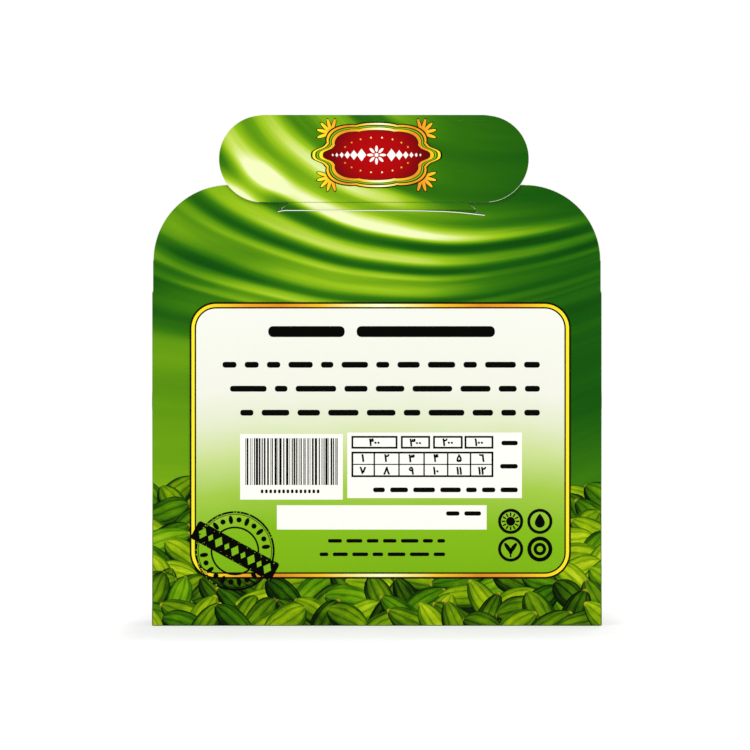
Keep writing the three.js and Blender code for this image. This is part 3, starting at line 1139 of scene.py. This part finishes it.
# %% One printed pod
def pod_drawing(x, z, length, width, turn, tone):
    """A flat spindle with its places kept as a UV map, centred in millimetres."""
    bm = bmesh.new()
    bmesh.ops.create_grid(bm, x_segments=POD_STEPS, y_segments=8, size=1)
    places = bm.loops.layers.uv.new("pod")
    lit = bm.verts.layers.float.new("lit")
    toned = bm.verts.layers.float.new("tone")
    for face in bm.faces:
        for loop in face.loops:
            loop[places].uv = ((loop.vert.co.x + 1) / 2, (loop.vert.co.y + 1) / 2)
    for vert in bm.verts:
        along, across = vert.co.x, vert.co.y
        belly = max(0.03, 1 - abs(along) ** 2.5) ** 0.7 * (1 - 0.16 * along)
        vert[lit] = across * (math.cos(turn) * 0.8 - math.sin(turn) * 0.25)
        vert[toned] = tone
        bend = 0.06 * width * (1 - along * along)
        vert.co = ((x + along * length / 2) * MM, 0, (z + across * belly * width / 2 + bend) * MM)
    return spun(bm, x, z, -turn)


def cropped(bm, x0, x1, z0, z1):
    """Cuts off what lies outside a rectangle in millimetres."""
    for co, no in (((x0, 0, 0), (-1, 0, 0)), ((x1, 0, 0), (1, 0, 0)),
                   ((0, 0, z0), (0, 0, -1)), ((0, 0, z1), (0, 0, 1))):
        geom = bm.verts[:] + bm.edges[:] + bm.faces[:]
        bmesh.ops.bisect_plane(bm, geom=geom, plane_co=Vector(co) * MM, plane_no=no, clear_outer=True)
    return bm


# %% The printed heap
def pod_places(half_width, rim, corner, seed):
    """Where the printed pods lie: rows along the foot, and a rise towards the corners."""
    draw = random.Random(seed)
    spots = []
    for step in range(int(corner / HEAP_STEP)):
        for side in (-1, 1):
            z = corner - HEAP_STEP * step - draw.uniform(0, 2.5)
            spots.append((side * (half_width - draw.uniform(4.5, 9.0)), z))
            spots.append((side * (half_width - draw.uniform(-1.5, 3.5)), z - draw.uniform(0, 2)))
    for row_z in (rim - 1.5, rim - 5.5, rim - 9.5, 0.5):
        count = int(2 * half_width / HEAP_SPACING)
        for step in range(count + 1):
            x = -half_width + (step + draw.uniform(-0.3, 0.3)) * 2 * half_width / count
            spots.append((x, row_z + draw.uniform(-1.4, 1.4)))
    pods = []
    for x, z in spots:
        turn = draw.choice((-1, 1)) * draw.uniform(0.05, 1.25) + draw.choice((0, math.pi))
        tone = draw.random()
        tone = max(tone, 0.4) if z > rim else tone
        pods.append((x, z, draw.uniform(12, 15.5), draw.uniform(6.2, 7.8), turn, tone))
    return pods


def pod_band(name, half_width, rim, corner, seed, lay, top=200):
    whole = []
    for number, spot in enumerate(pod_places(half_width, rim, corner, seed)):
        drawing = cropped(pod_drawing(*spot), -half_width, half_width, 0.2, top)
        if drawing.faces:
            whole.append(lay(drawing, 1 + number * POD_LAYER))
    return piece(name, joined(whole), (printed_pod,), "root")


back_pods = pod_band("back_pods", edge / MM, 12.5, 36.0, 3, on_back)
print("the printed heap has", len(back_pods.data.polygons), "faces")

# %% [markdown]
# The framed panel: a black line, a gold line, a thin dark line and the pale field, four plates with
# round corners laid one over the other, each a little smaller than the one below.

# %% The framed panel
FRAME = (-49.95, 51.75, 12.6, 86.4)
FRAME_ROUND = 7.0
FRAME_STEPS = ((0.0, line_ink, 13), (0.46, frame_gold, 14), (1.30, line_ink, 15), (1.70, label_fill, 16))
for number, (inset, material, layer) in enumerate(FRAME_STEPS):
    x0, x1, z0, z1 = FRAME
    plate = bar(x0 + inset, x1 - inset, z0 + inset, z1 - inset, FRAME_ROUND - inset, 14)
    print_piece(f"label_plate_{number}", [plate], material, layer)

# %% [markdown]
# Rows of rounded bars fill the panel, with lengths drawn at random from a fixed seed. White fields
# hold plain stripes and a small grid with the numbers from 1 to 12, as a calendar has, under a row
# of round hundreds.

# %% Rows of bars
draw = random.Random(7)


def bar_row(right, left, middle, height, longest=11.0, shortest=3.0, gap=2.2):
    """One row of bars, filled from the right."""
    bars = []
    x = right
    while x > left + shortest:
        length = min(draw.uniform(shortest, longest), x - left)
        bars.append(bar(x - length, x, middle - height / 2, middle + height / 2, height * 0.42))
        x -= length + gap
    return bars


rows = [bar(x0, x1, 77.1, 80.0, 1.2) for x0, x1 in ((-29.0, -8.6), (-5.4, 31.5))]
for middle in (69.7, 63.3, 56.9):
    rows += bar_row(43.5, -42.5 + draw.uniform(0, 4), middle, 1.55)
for middle in (22.7, 19.1):
    rows += bar_row(18.2, -15.3, middle, 0.95, 6.0, 1.8, 1.2)
rows += bar_row(27.8, 16.8, 30.0, 1.15, 5.0, 3.0, 1.3)
print("rows hold", len(rows), "bars")

# %% The white fields
FIELDS = ((-36.5, -9.1, 33.7, 51.2), (-7.9, 38.7, 34.1, 51.6), (-26.7, 29.3, 25.7, 32.2))
print_piece("white_fields", [bar(*field) for field in FIELDS], white_ink, 17)

# %% Stripes
STRIPE_LEFT, STRIPE_RIGHT = -35.1, -10.0
STRIPE_LOW, STRIPE_HIGH = 37.6, 50.1
stripes = []
x = STRIPE_LEFT
while x < STRIPE_RIGHT - 0.3:
    width = draw.choice((0.16, 0.16, 0.3, 0.3, 0.45, 0.62))
    stripes.append(bar(x, min(x + width, STRIPE_RIGHT), STRIPE_LOW, STRIPE_HIGH))
    x += width + draw.choice((0.18, 0.18, 0.3, 0.44))
stripes += [bar(-31 + 1.15 * step, -30.3 + 1.15 * step, 35.4, 36.4, 0.3) for step in range(14)]

# %% The number grid
GRID_X = (-6.8, -0.7, 5.9, 12.6, 18.9, 25.0, 31.1)
GRID_Z = (39.7, 43.1, 46.5)
HEAD_Z = (47.3, 50.7)
HEADS = ((-6.8, 5.5), (6.4, 14.2), (15.0, 22.9), (23.4, 31.1))
LINE = 0.5
THIN_UP = 0.19
THIN_ACROSS = 0.14


def box_lines(x0, x1, z0, z1):
    """The four sides of a box, which meet without lying over each other."""
    sides = [bar(x0, x1, z, z + LINE) for z in (z0, z1 - LINE)]
    return sides + [bar(x, x + LINE, z0 + LINE, z1 - LINE) for x in (x0, x1 - LINE)]


grid = box_lines(GRID_X[0], GRID_X[-1], GRID_Z[0], GRID_Z[-1])
grid.append(bar(GRID_X[0] + LINE, GRID_X[-1] - LINE, GRID_Z[1] - THIN_ACROSS, GRID_Z[1] + THIN_ACROSS))
for x in GRID_X[1:-1]:
    grid.append(bar(x - THIN_UP, x + THIN_UP, GRID_Z[0] + LINE, GRID_Z[1] - THIN_ACROSS))
    grid.append(bar(x - THIN_UP, x + THIN_UP, GRID_Z[1] + THIN_ACROSS, GRID_Z[-1] - LINE))
for x0, x1 in HEADS:
    grid += box_lines(x0, x1, *HEAD_Z)
grid += bar_row(37.6, -1.0, 36.3, 1.25, 6.0, 2.4, 1.4)
for middle in (48.8, 42.6):
    grid += bar_row(37.6, 32.8, middle, 1.2, 4.8, 4.0)


# %% The numbers
FATTER = 0.012
SIZE_PER_HEIGHT = 1.4
BOLD_SHIFTS = ((-0.1, 0), (0.1, 0), (0, -0.09), (0, 0.09), (0, 0))


def number_drawing(text, x, z, height):
    """A number as a flat drawing, centred at a place in millimetres, drawn five times to be bold.

    Blender fills small letters badly, so the number is made large. Faces that still fold back on
    their neighbours are thin ones, and they are taken out.
    """
    data = bpy.data.curves.new("number", "FONT")
    data.body = text
    data.size = 1
    data.offset = FATTER
    data.align_x = "CENTER"
    data.align_y = "CENTER"
    data.resolution_u = 3
    holder = new_object("number", data)
    bpy.context.view_layer.update()
    mesh = bpy.data.meshes.new_from_object(holder.evaluated_get(bpy.context.evaluated_depsgraph_get()))
    bpy.data.objects.remove(holder)
    bm = bmesh.new()
    bm.from_mesh(mesh)
    bmesh.ops.remove_doubles(bm, verts=bm.verts, dist=1e-5)
    for edge in bm.edges[:]:
        while edge.is_valid and len(edge.link_faces) > 1 and not edge.is_contiguous:
            thinnest = min(edge.link_faces, key=lambda face: face.calc_area())
            bmesh.ops.delete(bm, geom=[thinnest], context="FACES")
    bmesh.ops.scale(bm, vec=[height * MM * SIZE_PER_HEIGHT] * 3, verts=bm.verts)
    upright(bm)
    heights = [vert.co.z for vert in bm.verts]
    middle = (min(heights) + max(heights)) / 2
    copies = []
    for right, up in BOLD_SHIFTS:
        twin = bm.copy()
        shift = ((x + right) * MM, 0, (z + up) * MM - middle)
        bmesh.ops.translate(twin, vec=shift, verts=twin.verts)
        copies.append(twin)
    bm.free()
    return joined(copies)


DIGITS = "۰۱۲۳۴۵٦۷۸۹"
numbers = []
for count in range(12):
    column, line_number = count % 6, count // 6
    text = "".join(DIGITS[int(digit)] for digit in str(count + 1))
    x = (GRID_X[column] + GRID_X[column + 1]) / 2
    z = (GRID_Z[1 - line_number] + GRID_Z[2 - line_number]) / 2
    numbers.append(number_drawing(text, x, z, 2.0))
for count, (x0, x1) in enumerate(HEADS):
    hundreds = DIGITS[4 - count] + DIGITS[0] * 2
    numbers.append(number_drawing(hundreds, (x0 + x1) / 2, sum(HEAD_Z) / 2, 1.95))
print_piece("label_marks", rows + stripes + grid + numbers, black_ink, 18)

# %% [markdown]
# Four round pictures fill the corner: a sun, a drop, a leaf and a plain target. They are drawn from
# rings, dots and short rays.

# %% Round pictures
ROUND = 3.35
ROUND_LINE = 0.78
DROP_ROUND = 1.35
DROP_STRETCH = 0.75
SPOTS = ((35.7, 27.9), (43.5, 27.9), (35.7, 20.5), (43.5, 20.5))
(sun_x, sun_z), (drop_x, drop_z), (leaf_x, leaf_z), (target_x, target_z) = SPOTS
marks = [circle_line(x, z, ROUND, ROUND - ROUND_LINE) for x, z in SPOTS[:3]]
marks.append(disc(sun_x, sun_z, 1.2))
for step in range(12):
    ray = bar(sun_x - 0.19, sun_x + 0.19, sun_z + 1.4, sun_z + 2.35)
    marks.append(spun(ray, sun_x, sun_z, 2 * math.pi * step / 12))
drop_z -= 0.35
drop = disc(drop_x, drop_z, DROP_ROUND, 26)
for vert in drop.verts:
    up = vert.co.z / MM - drop_z
    if up > 0:
        thin = (1 - up / (DROP_ROUND + 0.01)) ** 0.35
        vert.co.x = (drop_x + (vert.co.x / MM - drop_x) * thin) * MM
        vert.co.z += up * DROP_STRETCH * MM
marks.append(drop)
for side in (-1, 1):
    marks.append(disc(leaf_x + side * 0.62, leaf_z + 0.2, 1.75, 24, 0.30, -side * math.radians(55)))
marks.append(bar(leaf_x - 0.2, leaf_x + 0.2, leaf_z - 2.2, leaf_z - 1.2))
marks.append(disc(target_x, target_z, ROUND))

# %% [markdown]
# The rubber stamp at the corner is three rings, a ring of dots and a slanted band with diamonds. The
# ink is uneven, as it is where a stamp skips, so specks of the ground show through it, placed by the
# same seeded draw.

# %% The stamp
STAMP_X, STAMP_Z = -37.9, 20.0
STAMP_TURN = math.radians(28.5)
BAND_HALF, BAND_RISE = 12.2, 2.65
DOTS_REACH = 8.35
RIM_REACH = 10.35
STAMP_RINGS = ((10.6, 10.1, 64), (9.85, 9.7, 64), (6.5, 6.05, 48))


def on_stamp(drawing, turn=STAMP_TURN):
    return spun(drawing, STAMP_X, STAMP_Z, turn)


marks += [circle_line(STAMP_X, STAMP_Z, *ring) for ring in STAMP_RINGS]
for step in range(24):
    angle = 2 * math.pi * (step + 0.5) / 24
    under_band = abs(math.cos(angle + STAMP_TURN)) > 0.93
    if not under_band:
        radius, squash = (0.7, 1.0) if step % 2 else (1.15, 0.5)
        marks.append(on_stamp(disc(STAMP_X + DOTS_REACH, STAMP_Z, radius, 12, squash), -angle))
print_piece("stamp_and_pictures", marks, black_ink, 19)
band = bar(STAMP_X - BAND_HALF, STAMP_X + BAND_HALF, STAMP_Z - BAND_RISE, STAMP_Z + BAND_RISE, 0.7, 4)
print_piece("stamp_band", [on_stamp(band)], black_ink, 20)
cuts = []
for step in range(-4, 5):
    cuts.append(on_stamp(disc(STAMP_X + step * 2.45, STAMP_Z, 0.75 if step % 2 else 1.15, 4, 1.4)))
for step in range(44):
    x, z = draw.uniform(-12, 12), draw.choice((-1, 1)) * draw.uniform(1.9, 2.7)
    cuts.append(on_stamp(disc(STAMP_X + x, STAMP_Z + z, draw.uniform(0.05, 0.15), 5)))
    speck = disc(STAMP_X + RIM_REACH, STAMP_Z, draw.uniform(0.07, 0.24), 5)
    cuts.append(on_stamp(speck, draw.uniform(math.radians(110), math.radians(350))))
cuts.append(circle_line(target_x, target_z, 2.3, 1.7))
cuts.append(disc(target_x, target_z, 0.8))
print_piece("stamp_cuts", cuts, leaf_ink, 21)

# %% [markdown]
# The medallion on the flap is a traditional kind: a lobed oval with pointed ends, outlined twice in
# gold, on fans of petals. Its red field holds a ring of beads and a row of diamonds with a flower
# in the middle. One lobed outline, scaled and laid in layers, makes the rims, and small ovals turned
# about a point make the fans and the flower.

# %% The medallion
MEDAL_X = -0.1
MEDAL_Z = 125.7 - FOLD.z / MM


LOBE_DEPTH = 0.055
SQUARENESS = 3.2


def lobed(half_width, half_height, centre):
    """An oval with eight lobes, drawn out to a point at its ends."""
    bm = bmesh.new()
    bmesh.ops.create_circle(bm, cap_ends=True, segments=128, radius=1)
    for vert in bm.verts:
        angle = math.atan2(vert.co.y, vert.co.x)
        right, up = math.cos(angle), math.sin(angle)
        lobes = 1 - LOBE_DEPTH + LOBE_DEPTH * abs(math.cos(4 * angle)) ** 0.7
        tip = 0.20 * math.exp(-((right ** 2 - 1) / 0.045) ** 2)
        reach = lobes / (abs(right) ** SQUARENESS + abs(up) ** SQUARENESS) ** (1 / SQUARENESS)
        vert.co = ((centre[0] + right * (reach + tip) * half_width) * MM, 0,
                   (centre[1] + up * reach * half_height) * MM)
    return bm


def print_medallion(name, steps, centre, layer, lay=on_back, body="root"):
    """Lobed plates of (half width, half height, material), laid one over the other."""
    for number, (half_width, half_height, material) in enumerate(steps):
        plate = lobed(half_width, half_height, centre)
        print_piece(f"{name}_{number}", [plate], material, layer + number, lay, body)


def print_fans(name, steps, size, centre, reach, layer, lay=on_back, body="root"):
    """Five petals that open outwards from each corner, once for each step of (drawn in by, material)."""
    for number, (less, material) in enumerate(steps):
        petals = []
        for side, level, petal in itertools.product((-1, 1), (-1, 1), range(5)):
            made = disc(size * 0.875, 0, size * 0.875 - less, 18, 0.30 - less * 0.55 / size)
            spun(made, 0, 0, math.radians(18 - 31 * petal))
            bmesh.ops.scale(made, vec=(side, 1, level), verts=made.verts)
            corner = ((centre[0] + side * reach[0]) * MM, 0, (centre[1] + level * reach[1]) * MM)
            bmesh.ops.translate(made, vec=corner, verts=made.verts)
            petals.append(made)
        print_piece(f"{name}_{number}", petals, material, layer + number, lay, body)


# %% The medallion's layers
FAN_STEPS = ((0.0, line_ink), (0.27, medal_gold))
print_fans("medallion_fans", FAN_STEPS, 2.4, (MEDAL_X, MEDAL_Z), (12.1, 5.9), 2, on_flap, "flap")
MEDAL_STEPS = (
    (14.6, 8.9, line_ink), (14.25, 8.6, medal_gold), (13.65, 8.1, line_ink), (13.35, 7.85, leaf_ink),
    (12.95, 7.55, line_ink), (12.75, 7.4, medal_gold), (11.95, 6.75, line_ink), (11.75, 6.6, medal_red),
)
print_medallion("medallion_rim", MEDAL_STEPS, (MEDAL_X, MEDAL_Z), 4, on_flap, "flap")
BEADS_ACROSS, BEADS_UP = 9.4, 4.7
bead_turns = [2 * math.pi * (step + 0.5) / 20 for step in range(20)]
beads = [disc(MEDAL_X + BEADS_ACROSS * math.cos(turn), MEDAL_Z + BEADS_UP * math.sin(turn), 0.24, 8)
         for turn in bead_turns if abs(math.sin(turn)) > 0.3]
print_piece("medallion_beads", beads, medal_gold, 13, on_flap, "flap")


def rosette(x, z, size, petals=8):
    """Petals round a centre, with a gap between the two."""
    drawings = [disc(x, z, size * 0.2, 16)]
    for step in range(petals):
        petal = disc(x, z + size * 0.64, size * 0.34, 14, 0.42, math.pi / 2)
        drawings.append(spun(petal, x, z, 2 * math.pi * step / petals))
    return drawings


whites = rosette(MEDAL_X, MEDAL_Z, 2.6)
for side in (-1, 1):
    for x, size in ((4.0, 1.25), (6.05, 0.98), (7.8, 0.74), (9.3, 0.56), (10.6, 0.4), (11.7, 0.28)):
        whites.append(disc(MEDAL_X + side * x, MEDAL_Z, size, 4, 1.35))
print_piece("medallion_ornament", whites, white_ink, 13, on_flap, "flap")
print("the medallion has", len(MEDAL_STEPS), "layers")

# %% [markdown]
# The front isn't in the photograph. It gets the same ground, the same heap of pods at its foot, and
# a large medallion of the same make with a flower in it. The two sides get the heap, a small
# medallion and a few white bars. All of it is drawn with the helpers above.

# %% The front
FRONT_MIDDLE = (0.0, 55.0)
FRONT_MEDAL = (
    (45.0, 21.5, line_ink), (44.4, 21.0, frame_gold), (42.8, 19.8, line_ink), (42.3, 19.4, leaf_ink),
    (41.2, 18.6, line_ink), (40.8, 18.3, frame_gold), (38.8, 16.8, line_ink),
)
front_pods = pod_band("front_pods", half / MM, 12.5, 34.0, 11, on_front)
FRONT_FANS = ((0.0, line_ink), (0.34, frame_gold))
print_fans("front_fans", FRONT_FANS, 6.0, FRONT_MIDDLE, (36.5, 14.0), 16, on_front)
print_medallion("front_rim", FRONT_MEDAL, FRONT_MIDDLE, 18, on_front)
front_red = red_ink("front_red", 0, FRONT_MIDDLE[1], 46)
print_piece("front_field", [lobed(38.2, 16.3, FRONT_MIDDLE)], front_red, 25, on_front)
front_whites = rosette(*FRONT_MIDDLE, 8.4) + rosette(*FRONT_MIDDLE, 3.2)
for side in (-1, 1):
    for step, size in enumerate((3.6, 2.8, 1.9, 1.2)):
        front_whites.append(disc(side * (13.4 + 5.6 * step), FRONT_MIDDLE[1], size, 4, 1.3))
    for x in range(2, 10):
        for level in (-1, 1):
            front_whites.append(disc(side * x * 2.6, FRONT_MIDDLE[1] + level * 11.8, 0.5, 8))
print_piece("front_ornament", front_whites, white_ink, 26, on_front)
FRONT_BARS = ((-24, 24, 82.0, 83.6, 0.7), (-15, 15, 26.5, 28.1, 0.7), (-9, 9, 22.9, 24.1, 0.5))
print_piece("front_bars", [bar(*sizes) for sizes in FRONT_BARS], white_ink, 18, on_front)

# %% The sides
SIDE_MIDDLE = (0.0, 60.0)
side_red = red_ink("side_red", 1, SIDE_MIDDLE[1], 13)
SIDE_MEDAL = [(10.2 * size, 12.4 * size, material) for size, material in
              ((1.0, line_ink), (0.965, medal_gold), (0.87, line_ink))]
for side, label in ((-1, "left"), (1, "right")):
    lay = on_side(side)
    pod_band(f"{label}_pods", (HALF_DEPTH - CREASE) / MM, 12.5, 26.0, 17 + side, lay)
    print_medallion(f"{label}_rim", SIDE_MEDAL, SIDE_MIDDLE, 12, lay)
    print_piece(f"{label}_field", [lobed(8.4, 10.4, SIDE_MIDDLE)], side_red, 15, lay)
    whites = rosette(*SIDE_MIDDLE, 4.4)
    for row, reach in enumerate((9.5, 7.5, 9.0, 6.0)):
        whites.append(bar(-reach, reach, 40.2 - 3.2 * row, 41.4 - 3.2 * row, 0.5))
    print_piece(f"{label}_whites", whites, white_ink, 16, lay)

# %% [markdown]
# Under the lid lies the heap itself. A pod is a spindle with three soft lobes: a sphere drawn out to
# two points. It remembers its own unit place as an attribute, and from that the husk's material
# draws the fine ribs. Each copy is turned, put in its layer, and pushed back between the walls.


# %% The husk
def pod_husk():
    recipe = Recipe("pod_husk")
    along, side, up = recipe.split(recipe.attribute("husk_place", 1))
    tone = recipe.attribute("tone")
    turn = side.math("ARCTAN2", up)
    fibre = recipe.noise(along * 3, side * 9, up * 9 + tone * 50, 4.0, 0.7)
    rib = ((turn * 15 + fibre * 2.5 + tone * 6).math("COSINE") + 1) * 0.5
    seam = (turn * 3).math("COSINE").step(0.86, 1.0)
    blotch = recipe.noise(along * 1.6, side * 2 + tone * 30, up * 2, 2.0)
    light = 0.42 + rib * 0.26 + (fibre - 0.5) * 0.5 + (tone - 0.5) * 0.55 + (blotch - 0.5) * 0.5 - seam * 0.16
    colour = recipe.ramp(
        light.clamp(), (0.0, 70, 84, 26), (0.35, 116, 134, 50), (0.6, 150, 166, 78), (0.82, 182, 188, 112),
        (1.0, 206, 204, 144),
    )
    dry_end = (along.math("ABSOLUTE").step(0.78, 1.0) * 0.8).clamp()
    colour = recipe.blend(dry_end, colour, screen(168, 148, 92))
    return recipe.finish(colour, 0.62, specular=0.25, height=rib + fibre * 0.6 - seam, depth=0.16)


husk = pod_husk()

# %% The loose pods
HUSK_AROUND = 18
HUSK_ALONG = 10
LAYER_RISE = 6.1 * MM
LOWEST = 4 * MM
SIDE_ROOM = 0.4 * MM
FRONT_ROOM = 0.3 * MM
BACK_ROOM = 2.6 * BOARD
ACROSS_COUNT, DEEP_COUNT = 8, 4
one_pod = bmesh.new()
bmesh.ops.create_uvsphere(one_pod, u_segments=HUSK_AROUND, v_segments=HUSK_ALONG, radius=1)
bmesh.ops.rotate(one_pod, cent=(0, 0, 0), matrix=Matrix.Rotation(math.pi / 2, 3, "Y"), verts=one_pod.verts)
own_place = one_pod.verts.layers.float_vector.new("husk_place")
one_pod.verts.layers.float.new("tone")
for vert in one_pod.verts:
    vert[own_place] = vert.co
    along, side, up = vert.co
    turn = math.atan2(side, up)
    thin = max(0.0, 1 - abs(along) ** 2.2) ** 0.3 * (1 - 0.14 * along)
    lobe = thin * (1 + 0.07 * math.cos(3 * turn + math.pi))
    vert.co = (along * 1.06, side * lobe, up * lobe)
pod_mesh = new_mesh("one_pod", one_pod)

draw = random.Random(23)
room_side = HALF_WIDTH - BOARD - SIDE_ROOM
room_low = Vector((-room_side, BACK + BACK_ROOM, heap_low[2]))
room_high = Vector((room_side, FRONT - BOARD - FRONT_ROOM, heap_high[2]))
heap_bm = bmesh.new()
layers_up = int((heap_high[2] - heap_low[2] - LOWEST) / LAYER_RISE)
for level, column, row in itertools.product(range(layers_up), range(ACROSS_COUNT), range(DEEP_COUNT)):
    first = len(heap_bm.verts)
    heap_bm.from_mesh(pod_mesh)
    heap_bm.verts.ensure_lookup_table()
    fresh = heap_bm.verts[first:]
    toned = heap_bm.verts.layers.float["tone"]
    tone = draw.random()
    share_x = (column + 0.5 + draw.uniform(-0.35, 0.35) + 0.25 * (level % 2)) / ACROSS_COUNT
    share_y = (row + 0.5 + draw.uniform(-0.3, 0.3)) / DEEP_COUNT
    centre = Vector((
        room_low.x + (room_high.x - room_low.x) * share_x,
        room_low.y + (room_high.y - room_low.y) * share_y,
        heap_low[2] + LOWEST + LAYER_RISE * level + draw.uniform(-1, 1) * MM,
    ))
    length, width = draw.uniform(6.4, 7.7) * MM, draw.uniform(3.5, 4.1) * MM
    turn = Matrix.Rotation(draw.uniform(0, math.pi), 4, "Z")
    tilt = Matrix.Rotation(draw.uniform(-0.5, 0.5), 4, "Y")
    roll = Matrix.Rotation(draw.uniform(0, math.pi), 4, "X")
    size = Matrix.Diagonal((length, width, width, 1))
    whole = Matrix.Translation(centre) @ turn @ tilt @ roll @ size
    bmesh.ops.transform(heap_bm, matrix=whole, verts=fresh)
    for axis in range(3):
        places = [vert.co[axis] for vert in fresh]
        push = max(0, room_low[axis] - min(places)) - max(0, max(places) - room_high[axis])
        for vert in fresh:
            vert.co[axis] += push
    for vert in fresh:
        vert[toned] = tone
bmesh.ops.recalc_face_normals(heap_bm, faces=heap_bm.faces)
piece("loose_pods", heap_bm, (husk,), "root", ("pod_filling",), smooth=60)
print("the heap holds", layers_up * ACROSS_COUNT * DEEP_COUNT, "pods")

# %% [markdown]
# The flaps inside and the bottom are plain plates in the frame and stay as they are: only their
# material changes.

# %% Bare flaps
plain_flaps = ("glue_seam_flap", "bottom_inner_flap", "bottom_dust_flap_left", "bottom_dust_flap_right",
               "left_dust_flap", "right_dust_flap")
finishes = {**dict.fromkeys(plain_flaps, bare_board), "bottom_outer_flap": roof_print}
for name, material in finishes.items():
    node = frame["nodes"][name]
    node.data.materials.clear()
    node.data.materials.append(material)
